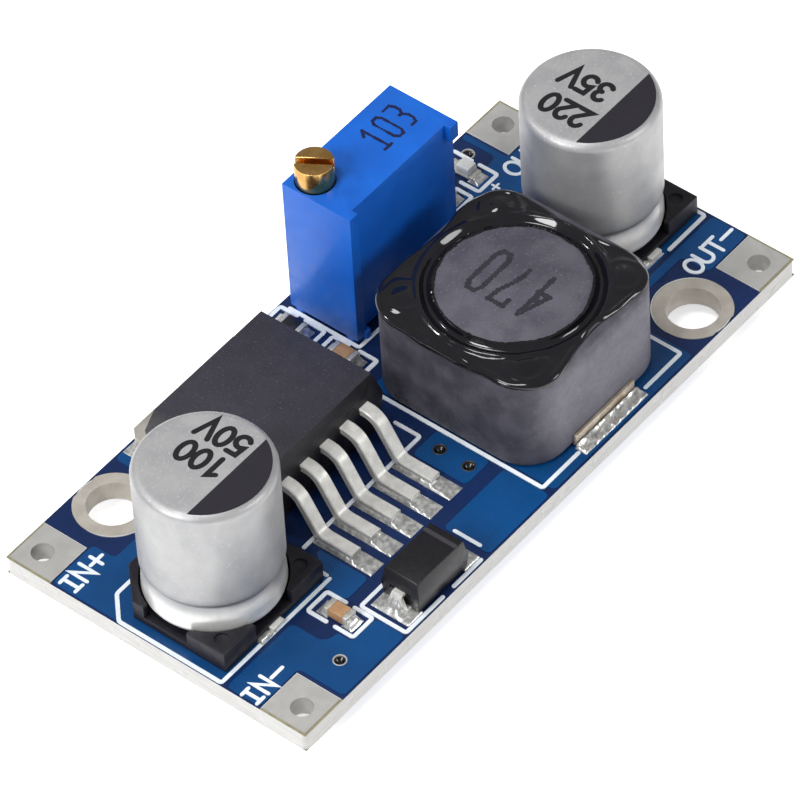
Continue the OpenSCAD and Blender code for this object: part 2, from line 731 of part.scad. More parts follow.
// Black plastic base: a plate, a seat for the can and four corner posts
module cap_base() {
    cross = cap_base_side + 2 * eps;
    color("#26242c") on_board() difference() {
        union() {
            translate([0, 0, seat]) linear_extrude(cap_plate_h - seat) cap_plate_outline();
            translate([0, 0, seat]) cylinder(d = cap_seat_d, h = cap_can_foot_h - seat, $fn = round_fn);
            translate([0, 0, seat]) linear_extrude(cap_post_h - seat) difference() {
                cap_plate_outline();
                circle(d = cap_can_d + 2 * cap_post_clear, $fn = round_fn);
                square([cap_gap_w, cross], center = true);
                square([cross, cap_gap_w], center = true);
            }
        }
        cap_lead_pair();
        cap_post_marks();
    }
}

// The shallow round marks in the upper faces of the two posts on the minus side
module cap_post_marks() {
    at = cap_base_side / 2 - cap_mark_inset;
    for (s = [-1, 1]) translate([s * at, -at, cap_post_h - cap_mark_depth])
        cylinder(d = cap_mark_d, h = cap_mark_depth + eps, $fn = small_fn);
}

// Closed aluminium can: rolled foot, crimp groove, plain wall and a rounded top edge
module cap_can() {
    wall = cap_can_d / 2;
    neck = wall - cap_groove_depth;
    half_groove = cap_groove_w / 2;
    color("#c8c9cb") on_board() rotate_extrude($fn = round_fn) polygon(concat(
        [[0, cap_can_foot_h], [wall - cap_edge_r, cap_can_foot_h]],
        [for (k = [1 : edge_steps]) let (a = -90 + 90 * k / edge_steps)
            [wall - cap_edge_r + cap_edge_r * cos(a), cap_can_foot_h + cap_edge_r + cap_edge_r * sin(a)]],
        [[wall, cap_groove_h - half_groove], [neck, cap_groove_h], [wall, cap_groove_h + half_groove]],
        [for (k = [0 : edge_steps]) let (a = 90 * k / edge_steps)
            [wall - cap_edge_r + cap_edge_r * cos(a), cap_top_h - cap_edge_r + cap_edge_r * sin(a)]],
        [[0, cap_top_h]]
    ));
}

// The two flat leads, which leave from under the base on the plus and the minus side
module cap_lead_pair() {
    reach = cap_base_side / 2 + cap_lead_out;
    for (s = [1, -1]) scale([1, s, 1])
        translate([-cap_lead_w / 2, -reach, seat]) cube([cap_lead_w, reach - cap_lead_w, cap_lead_t]);
}

module cap_leads() {
    color("#cfcdc8") on_board() cap_lead_pair();
}

// Tinned pad under each lead, set off to the input side of the lead, with a lump of solder
module cap_solder() {
    reach = cap_base_side / 2 + cap_lead_out;
    pad_low = -cap_pad_shift - cap_pad_w / 2;
    color("#b4b4b2") on_board() for (s = [1, -1]) scale([1, s, 1]) {
        translate([pad_low, -reach - 2 * seat, 0]) cube([cap_pad_w, reach - cap_lead_w, seat]);
        translate([pad_low, -reach - seat, seat])
            cube([-cap_lead_w / 2 - pad_low, cap_lead_out, cap_lead_t - seat]);
    }
}

module input_capacitor_base() { translate([in_cap_x, in_cap_y, 0]) cap_base(); }
module input_capacitor_can() { translate([in_cap_x, in_cap_y, 0]) cap_can(); }
module input_capacitor_leads() { translate([in_cap_x, in_cap_y, 0]) cap_leads(); }
module input_capacitor_solder() { translate([in_cap_x, in_cap_y, 0]) cap_solder(); }
module output_capacitor_base() { translate([out_cap_x, out_cap_y, 0]) cap_base(); }
module output_capacitor_can() { translate([out_cap_x, out_cap_y, 0]) cap_can(); }
module output_capacitor_leads() { translate([out_cap_x, out_cap_y, 0]) cap_leads(); }
module output_capacitor_solder() { translate([out_cap_x, out_cap_y, 0]) cap_solder(); }

// ---- diode ----

// Lead bent like a C: out of the body's end, down, and back in under the body
module diode_lead_pair() {
    reach = diode_l / 2 + diode_lead_out;
    root = diode_l / 2 - diode_lead_root;
    heel = reach - diode_foot_l;
    for (s = [1, -1]) scale([s, 1, 1]) rotate([90, 0, 0])
        translate([0, 0, -diode_lead_w / 2]) linear_extrude(diode_lead_w) polygon([
            [root, diode_lead_h], [reach, diode_lead_h], [reach, seat],
            [heel, seat], [heel, seat + diode_lead_t],
            [reach - diode_lead_t, seat + diode_lead_t], [reach - diode_lead_t, diode_lead_h - diode_lead_t],
            [root, diode_lead_h - diode_lead_t]
        ]);
}

module diode_body() {
    parting = diode_lead_h - diode_lead_t / 2;
    color("#2a2830") on_board() translate(diode_at) difference() {
        union() {
            translate([0, 0, parting]) drafted_block(diode_l, diode_w, diode_h - parting, diode_draft);
            translate([0, 0, parting]) mirror([0, 0, 1])
                drafted_block(diode_l, diode_w, parting - 2 * seat, diode_draft / 2);
        }
        diode_lead_pair();
    }
}

module diode_leads() {
    color("#cfcdc8") on_board() translate(diode_at) diode_lead_pair();
}

module diode_solder() {
    reach = diode_l / 2 + diode_lead_out;
    pad_out = reach + diode_pad_out;
    color("#b4b4b2") on_board() translate(diode_at) for (s = [1, -1]) scale([s, 1, 1]) {
        translate([pad_out - diode_pad[0], -diode_pad[1] / 2, 0]) cube([diode_pad[0], diode_pad[1], seat]);
        translate([reach, 0, seat]) rotate([90, 0, 0])
            translate([0, 0, -diode_lead_w / 2]) linear_extrude(diode_lead_w)
                polygon([[0, 0], [diode_fillet_out, 0], [0, diode_lead_h / 2]]);
    }
}

// ---- trimmer ----

// Outline of the case, with the shallow recess between the two ribs of its minus side
module pot_outline() {
    translate([case_x, case_y]) polygon([
        [0, 0], [pot_rib, 0], [pot_rib, pot_recess], [pot_l - pot_rib, pot_recess], [pot_l - pot_rib, 0],
        [pot_l, 0], [pot_l, pot_w], [0, pot_w]
    ]);
}

module trimmer_case() {
    foot_d = pot_rib + pot_wall;
    color("#1a63c8") on_board() difference() {
        union() {
            translate([0, 0, pot_standoff]) linear_extrude(pot_h - pot_standoff) pot_outline();
            for (x = [case_x + foot_d / 2, case_x + pot_l - foot_d / 2],
                 y = [case_y + foot_d / 2, case_y + pot_w - foot_d / 2])
                translate([x, y, 0]) cylinder(d = foot_d, h = pot_standoff + eps, $fn = small_fn);
        }
        translate([case_x + pot_l - pot_rib, case_y - eps, -eps])
            cube([pot_rib + eps, pot_recess + eps, pot_h - pot_lug_h + eps]);
        box_between([hollow_x0, hollow_y0, pot_standoff - eps], [hollow_x1, hollow_y1, pot_ceiling]);
        translate([screw_x, screw_y, 0]) {
            translate([0, 0, pot_ceiling - eps])
                cylinder(d = screw_neck_d + 2 * run_clear, h = pot_roof + 2 * eps, $fn = small_fn);
            translate([0, 0, collar_low - run_clear])
                cylinder(r = screw_collar_r + run_clear, h = pot_ceiling - collar_low + run_clear,
                         $fn = small_fn);
            translate([0, 0, pot_ceiling - eps])
                cylinder(d = screw_neck_d + 2 * seal_d + 4 * run_clear, h = seal_d + eps, $fn = small_fn);
            translate([0, 0, pot_h - screw_recess_depth])
                cylinder(d = screw_head_d + 2 * run_clear, h = screw_recess_depth + eps, $fn = small_fn);
        }
    }
}

module trimmer_potting() {
    color("#22212a") on_board() difference() {
        box_between([hollow_x0, hollow_y0, pot_standoff], [hollow_x1, hollow_y1, pot_floor]);
        at_pot_pins() cylinder(d = pot_pin_d, h = pot_floor + eps, $fn = small_fn);
    }
}

// Rubber ring that seals the screw's neck, in its groove under the case's top
module trimmer_seal() {
    color("#101014") on_board() translate([screw_x, screw_y, pot_ceiling + seal_d / 2])
        rotate_extrude($fn = small_fn)
            translate([(screw_neck_d + seal_d) / 2 + run_clear, 0]) circle(d = seal_d, $fn = small_fn);
}

module trimmer_screw() {
    head_low = pot_h - screw_recess_depth + run_clear;
    head_top = pot_h + screw_head_h;
    collar_top = collar_low + screw_collar_t;
    neck = screw_neck_d / 2;
    thread = screw_thread_d / 2;
    color("#b8893c") on_board() translate([screw_x, screw_y, 0]) difference() {
        rotate_extrude($fn = round_fn) polygon([
            [0, pot_floor + run_clear], [thread, pot_floor + run_clear], [thread, collar_low],
            [screw_collar_r, collar_low], [screw_collar_r, collar_top], [neck, collar_top],
            [neck, head_low], [screw_head_d / 2, head_low], [screw_head_d / 2, head_top], [0, head_top]
        ]);
        rotate([0, 0, screw_slot_turn])
            translate([-screw_head_d, -screw_slot_w / 2, head_top - screw_slot_depth])
                cube([2 * screw_head_d, screw_slot_w, screw_slot_depth + eps]);
    }
}

// Block that the screw drives up and down, guided by the walls of the hollow
module trimmer_carriage() {
    low = carriage_mid - carriage_h / 2;
    color("#e8e4d8") on_board() difference() {
        box_between([hollow_x0 + run_clear, carriage_front, low],
                    [hollow_x0 + run_clear + carriage_l, hollow_y1 - run_clear, low + carriage_h]);
        translate([screw_x, screw_y, low - eps])
            cylinder(d = screw_thread_d + 2 * run_clear, h = carriage_h + 2 * eps, $fn = small_fn);
    }
}

// Bent spring strip on the carriage, which presses on the resistance plate
module trimmer_wiper() {
    back = carriage_front;
    front = hollow_y0 + element_t + run_clear;
    start = hollow_x0 + wiper_start;
    bend = start + wiper_flat_l;
    tip = start + wiper_l;
    color("#d8b25a") on_board() translate([0, 0, carriage_mid - wiper_w / 2])
        linear_extrude(wiper_w) polygon([
            [start, back - wiper_t], [bend, back - wiper_t], [tip, front], [tip + wiper_t, front],
            [tip + wiper_t, front + wiper_t], [bend + wiper_t, back], [start, back]
        ]);
}

module trimmer_element() {
    color("#e9e6e0") on_board()
        box_between([hollow_x0 + run_clear, hollow_y0, pot_floor],
                    [hollow_x1 - run_clear, hollow_y0 + element_t, pot_ceiling - run_clear]);
}

module trimmer_pins() {
    color("#c9c7c0") at_pot_pins()
        translate([0, 0, -pot_pin_out])
            cylinder(d = pot_pin_d, h = pot_pin_out + board_t + pot_floor + pot_pin_in, $fn = small_fn);
}

// Cone of solder around each pin under the board
module trimmer_solder() {
    pin = pot_pin_d / 2;
    hole = pin + pot_hole_gap;
    foot = pot_cone_d / 2;
    color("#b4b4b2") at_pot_pins() rotate_extrude($fn = small_fn)
        polygon([[pin, board_t], [pin, -pot_cone_h], [pin + plating_t, -pot_cone_h], [foot, -plating_t],
                 [foot, 0], [hole, 0], [hole, board_t]]);
}

// ---- chip parts ----

// Middle of a chip part, along Y
module chip_body(h) {
    translate([-chip_w / 2, -chip_l / 2 + chip_end, seat]) cube([chip_w, chip_l - 2 * chip_end, h - seat]);
}

// The two metal ends of a chip part
module chip_ends(h) {
    for (s = [1, -1]) scale([1, s, 1])
        translate([-chip_w / 2, -chip_l / 2, seat]) cube([chip_w, chip_end, h - seat]);
}

// Pads and fillets of solder at both ends of a chip part
module chip_pads(h) {
    for (s = [1, -1]) scale([1, s, 1]) {
        translate([-chip_pad_w / 2, -chip_l / 2 - chip_pad_out, 0])
            cube([chip_pad_w, chip_pad_out + chip_end, seat]);
        translate([0, -chip_l / 2, seat]) rotate([90, 0, 90])
            translate([0, 0, -chip_w / 2]) linear_extrude(chip_w)
                polygon([[0, 0], [0, h * fillet_share], [-chip_fillet_out, 0]]);
    }
}

module input_ceramic_body() {
    color("#b58a5c") on_board() translate(input_ceramic_at) chip_body(chip_cap_h);
}

module input_ceramic_ends() {
    color("#c9c7c0") on_board() translate(input_ceramic_at) chip_ends(chip_cap_h);
}

module compensation_ceramic_body() {
    color("#9a7a5c") on_board() translate(compensation_at) chip_body(chip_cap_h);
}

module compensation_ceramic_ends() {
    color("#c9c7c0") on_board() translate(compensation_at) chip_ends(chip_cap_h);
}

module feedback_resistor_body() {
    color("#18171c") on_board() translate(feedback_at) chip_body(chip_res_h);
}

module feedback_resistor_ends() {
    color("#c9c7c0") on_board() translate(feedback_at) chip_ends(chip_res_h);
}

module lamp_resistor_body() {
    color("#18171c") on_board() translate(lamp_resistor_at) chip_body(chip_res_h);
}

module lamp_resistor_ends() {
    color("#c9c7c0") on_board() translate(lamp_resistor_at) chip_ends(chip_res_h);
}

module lamp_carrier() {
    color("#e6e2d2") on_board() translate(lamp_at) chip_body(led_base_h + seat);
}

module lamp_lens() {
    color("#efe9c8") on_board() translate([lamp_at[0], lamp_at[1], led_base_h + seat])
        drafted_block(chip_w, chip_l - 2 * chip_end, led_h - led_base_h - seat, led_lean);
}

module lamp_ends() { color("#c9c7c0") on_board() translate(lamp_at) chip_ends(led_base_h + seat); }

module chip_solder() {
    color("#b4b4b2") on_board() {
        translate(input_ceramic_at) chip_pads(chip_cap_h);
        translate(compensation_at) chip_pads(chip_cap_h);
        translate(feedback_at) chip_pads(chip_res_h);
        translate(lamp_resistor_at) chip_pads(chip_res_h);
        translate(lamp_at) chip_pads(led_base_h + seat);
    }
}

circuit_board();
wire_pads();
screw_hole_rings();
via_rings();
regulator_body();
regulator_tab();
regulator_leads();
regulator_solder();
inductor_shield();
inductor_drum();
inductor_winding();
inductor_adhesive();
inductor_terminals();
inductor_solder();
input_capacitor_base();
input_capacitor_can();
input_capacitor_leads();
input_capacitor_solder();
output_capacitor_base();
output_capacitor_can();
output_capacitor_leads();
output_capacitor_solder();
diode_body();
diode_leads();
diode_solder();
trimmer_case();
trimmer_potting();
trimmer_seal();
trimmer_screw();
trimmer_carriage();
trimmer_wiper();
trimmer_element();
trimmer_pins();
trimmer_solder();
input_ceramic_body();
input_ceramic_ends();
compensation_ceramic_body();
compensation_ceramic_ends();
feedback_resistor_body();
feedback_resistor_ends();
lamp_resistor_body();
lamp_resistor_ends();
lamp_carrier();
lamp_lens();
lamp_ends();
chip_solder();
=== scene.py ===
"""Dresses the frame of a small adjustable buck converter module and sets up its studio.

The frame gives the solids. This script gives them their finishes, and replaces those that
need softer or finer forms: solder, adhesive, rolled aluminium, mouldings and print.
"""

import logging
import math
from collections.abc import Callable, Iterable, Sequence
from dataclasses import dataclass, field
from enum import Enum
from functools import lru_cache

import bmesh
import bpy
from mathutils import Matrix, Vector, noise


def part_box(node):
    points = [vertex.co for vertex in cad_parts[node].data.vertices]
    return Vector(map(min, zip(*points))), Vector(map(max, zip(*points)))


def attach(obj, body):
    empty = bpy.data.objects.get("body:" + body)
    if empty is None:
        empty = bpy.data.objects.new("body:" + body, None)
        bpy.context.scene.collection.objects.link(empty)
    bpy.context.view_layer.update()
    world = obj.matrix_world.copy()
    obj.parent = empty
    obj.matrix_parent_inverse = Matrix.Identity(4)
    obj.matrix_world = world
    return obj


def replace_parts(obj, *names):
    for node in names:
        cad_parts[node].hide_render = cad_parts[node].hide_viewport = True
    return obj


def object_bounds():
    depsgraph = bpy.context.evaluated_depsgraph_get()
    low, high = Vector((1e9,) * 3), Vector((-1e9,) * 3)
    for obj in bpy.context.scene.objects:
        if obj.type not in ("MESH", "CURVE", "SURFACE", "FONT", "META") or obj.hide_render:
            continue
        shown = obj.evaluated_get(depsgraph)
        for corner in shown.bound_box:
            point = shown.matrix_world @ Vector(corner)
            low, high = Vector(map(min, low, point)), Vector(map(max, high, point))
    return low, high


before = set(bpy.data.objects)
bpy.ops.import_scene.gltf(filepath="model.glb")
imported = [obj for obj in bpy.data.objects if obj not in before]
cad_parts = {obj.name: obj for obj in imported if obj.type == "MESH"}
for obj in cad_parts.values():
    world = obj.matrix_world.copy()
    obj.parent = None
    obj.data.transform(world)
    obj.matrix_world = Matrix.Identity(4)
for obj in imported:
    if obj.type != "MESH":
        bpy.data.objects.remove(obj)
CAD_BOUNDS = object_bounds()

LOG = logging.getLogger("buck_converter")

MM = 0.001
MODULE = "module"
SCREW = "adjusting_screw"
SHARP_DEG = 32.0

Point = tuple[float, float]
Point3 = tuple[float, float, float]
Strokes = list[tuple[list[Point], bool]]
Socket = bpy.types.NodeSocket


# ---- colours, nodes and finishes ----


def linear(hex_colour: str) -> tuple[float, float, float, float]:
    """Turns an sRGB hex colour into the linear colour that the shaders take.

    Args:
        hex_colour: Six hex digits with a leading #.

    Returns:
        Red, green, blue and an alpha of 1.
    """
    parts = [int(hex_colour[i : i + 2], 16) / 255 for i in (1, 3, 5)]
    red, green, blue = (
        c / 12.92 if c <= 0.04045 else ((c + 0.055) / 1.055) ** 2.4 for c in parts
    )
    return (red, green, blue, 1.0)


@dataclass
class NodeSheet:
    """The node tree of one material while it is being drawn."""

    material: bpy.types.Material

    def add(
        self, kind: str, inputs: dict[str | int, object] | None = None, **settings: object
    ) -> bpy.types.Node:
        """Adds a node, sets its properties, and sets or links its inputs.

        Args:
            kind: The node's type name.
            inputs: Values or sockets for the node's inputs, by name or index.
            **settings: Properties of the node.

        Returns:
            The new node.
        """
        tree = self.material.node_tree
        node = tree.nodes.new(kind)
        for key, value in settings.items():
            setattr(node, key, value)
        for key, value in (inputs or {}).items():
            if isinstance(value, Socket):
                tree.links.new(value, node.inputs[key])
            else:
                node.inputs[key].default_value = value
        return node

    def colour_mix(self, factor: Socket, first: object, second: object) -> Socket:
        """Mixes two colours by a factor and returns the colour socket."""
        node = self.add("ShaderNodeMix", {0: factor, 6: first, 7: second}, data_type="RGBA")
        return node.outputs[2]

    def noise(self, place: Socket, scale: float, detail: float, **more: float) -> Socket:
        """Adds a noise of so many waves to the metre and returns its grey value."""
        inputs = {"Vector": place, "Scale": scale, "Detail": detail, **more}
        return self.add("ShaderNodeTexNoise", inputs).outputs["Fac"]

    def part(self, vector: Socket, axis: int) -> Socket:
        """Gives one coordinate of a vector."""
        return self.add("ShaderNodeSeparateXYZ", {0: vector}).outputs[axis]

    def math(self, operation: str, *values: Socket) -> Socket:
        """Works out one step of arithmetic on one or two values."""
        node = self.add("ShaderNodeMath", dict(enumerate(values)), operation=operation)
        return node.outputs[0]

    def band(
        self,
        value: Socket,
        low: float,
        high: float,
        to_low: float = 0.0,
        to_high: float = 1.0,
    ) -> Socket:
        """Maps a value from one range to another with a smooth, clamped step."""
        node = self.add(
            "ShaderNodeMapRange",
            {0: value, 1: low, 2: high, 3: to_low, 4: to_high},
            interpolation_type="SMOOTHSTEP",
        )
        return node.outputs[0]


@dataclass(frozen=True)
class Finish:
    """One real material and the way that its surface was made.

    Attributes:
        name: The material's common name and its process.
        slot: The record's slot that it stands for; not used.
        colour: Main colour, sRGB hex.
        shade: Second colour, into which the main one mottles.
        mottle_mm: Size of the mottling.
        grain_mm: Size of the surface's grain.
        grain_depth_mm: Depth of that grain.
        roughness: Lowest and highest roughness.
        metallic: 1 for bare metal.
        ior: Index of refraction, left alone on metal.
        coat: Strength of a clear, glossy top layer.
        stretch: Scale of the grain along X, Y and Z, for brushed or drawn surfaces.
    """

    name: str
    slot: str
    colour: str
    shade: str
    mottle_mm: float
    grain_mm: float
    grain_depth_mm: float
    roughness: tuple[float, float]
    metallic: float = 0.0
    ior: float = 1.5
    coat: float = 0.0
    stretch: Point3 = (1.0, 1.0, 1.0)

    def surface_colour(self, sheet: NodeSheet, place: Socket) -> Socket:
        """Draws the colour of the surface.

        Args:
            sheet: The node tree.
            place: Coordinates in metres on the piece.

        Returns:
            The colour socket.
        """
        cloud = sheet.noise(place, 1 / (self.mottle_mm * MM), 5.0, Roughness=0.6)
        share = sheet.band(cloud, 0.3, 0.7)
        return sheet.colour_mix(share, linear(self.colour), linear(self.shade))

    def build(self) -> bpy.types.Material:
        """Makes the material with its colour, roughness and grain."""
        material = bpy.data.materials.new(self.name)
        material.use_nodes = True
        material.node_tree.nodes.clear()
        sheet = NodeSheet(material)
        place = sheet.add("ShaderNodeTexCoord").outputs["Object"]
        stretched = sheet.add("ShaderNodeMapping", {"Vector": place, "Scale": self.stretch})
        grain = sheet.noise(stretched.outputs[0], 1 / (self.grain_mm * MM), 4.0, Roughness=0.62)
        relief = sheet.add(
            "ShaderNodeBump",
            {"Height": grain, "Strength": 1.0, "Distance": self.grain_depth_mm * MM},
        )
        low, high = self.roughness
        # the shine changes over patches a few grains wide
        shine = sheet.noise(stretched.outputs[0], 0.4 / (self.grain_mm * MM), 3.0)
        principled = sheet.add(
            "ShaderNodeBsdfPrincipled",
            {
                "Base Color": self.surface_colour(sheet, place),
                "Metallic": self.metallic,
                "Roughness": sheet.band(shine, 0.3, 0.7, low, high),
                "Normal": relief.outputs[0],
            },
        )
        if not self.metallic:
            principled.inputs["IOR"].default_value = self.ior
        if self.coat:
            principled.inputs["Coat Weight"].default_value = self.coat
            principled.inputs["Coat Roughness"].default_value = 0.06
        self.dress(sheet, principled, place)
        sheet.add("ShaderNodeOutputMaterial", {"Surface": principled.outputs[0]})
        return material

    def dress(self, sheet: NodeSheet, principled: bpy.types.Node, place: Socket) -> None:
        """Adds what a special finish needs to the shader; the plain finish needs nothing."""


@dataclass(frozen=True)
class MaskedLaminate(Finish):
    """Glass-epoxy laminate under glossy solder mask, with bare cut edges."""

    edge: str = "#cdccca"
    edge_shade: str = "#c4c3c0"
    ply_mm: float = 0.18

    def surface_colour(self, sheet: NodeSheet, place: Socket) -> Socket:
        """Draws mask on both faces and layered glass fibre on the sawn edges."""
        mask = Finish.surface_colour(self, sheet, place)
        # the layers of glass cloth lie flat
        flat = sheet.add("ShaderNodeMapping", {"Vector": place, "Scale": (0.12, 0.12, 1.0)})
        fibre = sheet.noise(flat.outputs[0], 1 / (self.ply_mm * MM), 3.0)
        share = sheet.band(fibre, 0.35, 0.65)
        bare = sheet.colour_mix(share, linear(self.edge), linear(self.edge_shade))
        normal = sheet.add("ShaderNodeTexCoord").outputs["Normal"]
        upright = sheet.math("ABSOLUTE", sheet.part(normal, 2))
        return sheet.colour_mix(sheet.band(upright, 0.4, 0.6), bare, mask)


@dataclass(frozen=True)
class ClearResin(Finish):
    """Clear casting resin over a small light chip."""

    def dress(self, sheet: NodeSheet, principled: bpy.types.Node, place: Socket) -> None:
        """Lets light through the resin."""
        principled.inputs["Transmission Weight"].default_value = 0.15
        principled.inputs["Subsurface Weight"].default_value = 0.3
        principled.inputs["Subsurface Radius"].default_value = (0.0006, 0.0005, 0.0003)


@dataclass(frozen=True)
class Speckled(Finish):
    """A surface with fine pale specks, such as sintered ferrite or filled epoxy."""

    speck: str = "#8d8a92"
    speck_mm: float = 0.12
    speck_share: float = 0.72

    def surface_colour(self, sheet: NodeSheet, place: Socket) -> Socket:
        """Draws the mottled ground with scattered specks of filler or grain."""
        ground = Finish.surface_colour(self, sheet, place)
        dust = sheet.noise(place, 1 / (self.speck_mm * MM), 2.0)
        share = sheet.band(dust, self.speck_share - 0.06, self.speck_share + 0.06)
        return sheet.colour_mix(share, ground, linear(self.speck))


@dataclass(frozen=True)
class DrawnCan(Speckled):
    """Lacquered aluminium with painted shade towards its rolled waist."""

    painted_shade_z: tuple[float, float] = (5.1, 4.1)
    painted_waist_shade: str = "#6a6b70"

    def surface_colour(self, sheet: NodeSheet, place: Socket) -> Socket:
        """Draws the lacquered wall, with painted shade where it turns in to the waist."""
        wall = Speckled.surface_colour(self, sheet, place)
        # painted shade: the colour darkens towards the waist's height
        plain, waist = (z * MM for z in self.painted_shade_z)
        share = sheet.band(sheet.part(place, 2), plain, waist, 0.0, 0.8)
        return sheet.colour_mix(share, wall, linear(self.painted_waist_shade))


@dataclass(frozen=True)
class SmearedShadedFerrite(Speckled):
    """Ferrite over which thin adhesive has run on the input side and along the upper edge, with
    painted shade on the input side as well.
    """

    smear_and_shade: str = "#2d2b35"
    edge_z: tuple[float, float] = (6.3, 7.7)
    patch_mm: float = 1.6

    def surface_colour(self, sheet: NodeSheet, place: Socket) -> Socket:
        """Draws bare ferrite, darkened where the adhesive wetted it, and with painted shade on
        faces that look to the input side.
        """
        bare = Speckled.surface_colour(self, sheet, place)
        normal = sheet.add("ShaderNodeTexCoord").outputs["Normal"]
        low, high = (z * MM for z in self.edge_z)
        run = sheet.noise(place, 1 / (self.patch_mm * MM), 4.0)
        patchy = sheet.band(run, 0.25, 0.7, 0.55, 1.0)
        # painted shade mixed with run adhesive: faces towards the input side darken by their
        # direction
        input_side_shade = sheet.band(sheet.part(normal, 0), 0.1, -0.8, 0.0, 0.92)
        edge = sheet.band(sheet.part(place, 2), low, high, 0.0, 0.75)
        share = sheet.math("MULTIPLY", sheet.math("MAXIMUM", input_side_shade, edge), patchy)
        return sheet.colour_mix(share, bare, linear(self.smear_and_shade))


# FR-4 laminate with blue, light-cured liquid solder mask: even, glossy, dark where no copper
# lies under it, and pale sawn edges of glass cloth
LAMINATE = MaskedLaminate(
    "Solder mask on FR-4 laminate", "solder_mask_laminate", "#132a58", "#10254f",
    4.0, 0.9, 0.0012, (0.24, 0.32), ior=1.38,
)
# the same mask over copper foil: brighter, greener and slightly raised
MASK_ON_COPPER = Finish(
    "Solder mask over copper foil", "solder_mask_laminate", "#0a4a84", "#0a3e70",
    9.0, 0.8, 0.0014, (0.24, 0.32), ior=1.38,
)
# cut edge of the laminate outside the mask: a pale tan line around the board
BARE_EDGE = Finish(
    "Bare FR-4 laminate at the routed edge", "solder_mask_laminate", "#9a9478", "#857f66",
    0.6, 0.1, 0.004, (0.5, 0.65),
)
# screen-printed epoxy legend ink: flat white with slightly uneven cover
LEGEND_INK = Finish(
    "White legend ink, screen printed", "solder_mask_laminate", "#eef3f8", "#e0e9f2",
    0.5, 0.09, 0.002, (0.55, 0.7), ior=1.45,
)
# hot-air levelled tin on flat pads: dull grey and lightly dimpled
LEVELLED_TIN = Finish(
    "Tin on copper pads, hot-air levelled", "tinned_copper", "#b9b8b5", "#aeadaa",
    1.3, 0.3, 0.003, (0.45, 0.58), metallic=0.25,
)
# tin drawn up to the mask's edge: a narrow bead, painted bright as a highlight
PAD_RIM_HIGHLIGHT = Finish(
    "Tin bead at the edge of a pad, hot-air levelled", "tinned_copper", "#e9e9e6", "#dcdcd8",
    0.4, 0.12, 0.003, (0.3, 0.4), metallic=0.3,
)
# tin on the screw-hole rings, slightly yellowed by flux
RING_TIN = Finish(
    "Tin on the screw-hole rings, flux stained", "tinned_copper", "#c2bcb2", "#b1aaa0",
    1.1, 0.25, 0.003, (0.42, 0.55), metallic=0.25,
)
# via rings under the mask: dark bronze
MASKED_RIM = Finish(
    "Via ring under solder mask", "tinned_copper", "#2b2a2c", "#3c342c",
    0.3, 0.1, 0.003, (0.35, 0.5),
)
# mask drawn into a via: a glossy plug, painted nearly black as the shade deep in the hole
VIA_PLUG_SHADE = Finish(
    "Solder mask plug in a via, painted shade", "solder_mask_laminate", "#07080c", "#0c0d14",
    0.3, 0.15, 0.006, (0.15, 0.25),
)
# reflowed solder: bright, with soft wrinkles from cooling; its strong pale and dark mottle is
# painted reflection of the wrinkles
SOLDER = Finish(
    "Lead-free solder, reflowed", "solder", "#ecece9", "#a5a5a3",
    0.34, 0.4, 0.012, (0.22, 0.34), metallic=0.65,
)
# stamped copper alloy leads, tin plated: satin, nearly white
LEAD_TIN = Finish(
    "Tin-plated stamped leads", "tinned_lead", "#e9e8e4", "#d3d2cc",
    0.6, 0.2, 0.006, (0.34, 0.46), metallic=0.3,
)
# inductor terminal: thicker tin over copper, warm where flux has stained it
TERMINAL_TIN = Finish(
    "Tin-plated copper terminal, flux stained", "tinned_lead", "#d8cfc0", "#b9a78e",
    0.7, 0.2, 0.008, (0.34, 0.46), metallic=0.4,
)
# transfer-moulded epoxy: matt black with a fine, even grain and grey filler
EPOXY = Speckled(
    "Black epoxy, transfer moulded", "black_epoxy", "#302e38", "#2a2832",
    1.2, 0.16, 0.012, (0.5, 0.62), speck="#47444f", speck_mm=0.14, speck_share=0.66,
)
# the same moulding's sides: a little glossier, and darker as painted shade
EPOXY_SIDE_SHADE = Finish(
    "Black epoxy, side faces in painted shade", "black_epoxy", "#17161c", "#131217",
    1.2, 0.16, 0.006, (0.4, 0.5), ior=1.45,
)
# smaller mould, polished cavity: blacker and glossier than the regulator's
DIODE_EPOXY = Speckled(
    "Black epoxy, moulded in a polished cavity", "black_epoxy", "#161419", "#121015",
    0.9, 0.14, 0.007, (0.34, 0.46), ior=1.45, speck="#221f25", speck_mm=0.12, speck_share=0.68,
)
# laser-marked band: only a little paler than the moulding
BAND_INK = Finish(
    "Laser mark on black epoxy", "black_epoxy", "#38353a", "#302d32",
    0.4, 0.1, 0.003, (0.6, 0.7),
)
# nickel-tin plated copper tab, sheared and plated
TAB_PLATE = Finish(
    "Tin-plated copper tab", "plated_tab", "#bdb9b0", "#a5a198",
    1.0, 0.2, 0.004, (0.35, 0.5), metallic=0.5,
)
# sintered and tumbled ferrite: matt, violet-grey, darkened where thin adhesive ran over it, and
# with painted shade on the input side
FERRITE = SmearedShadedFerrite(
    "Nickel-zinc ferrite, sintered and tumbled", "ferrite", "#6f6d78", "#62606b",
    2.4, 0.16, 0.012, (0.48, 0.64), speck="#85838c", speck_mm=0.16, speck_share=0.7,
)
# ground face of the drum core: mottled, with dark stains
FERRITE_FACE = Speckled(
    "Nickel-zinc ferrite, ground face", "ferrite", "#5c5a64", "#46444f",
    2.2, 0.22, 0.016, (0.5, 0.65), ior=1.45, speck="#67656f", speck_mm=0.14, speck_share=0.66,
)
# enamelled copper wire, wound
WIRE = Finish(
    "Enamelled copper wire, wound", "copper_winding", "#b5642f", "#8c4720",
    0.4, 0.3, 0.02, (0.3, 0.4), metallic=0.8, stretch=(1.0, 1.0, 4.0),
)
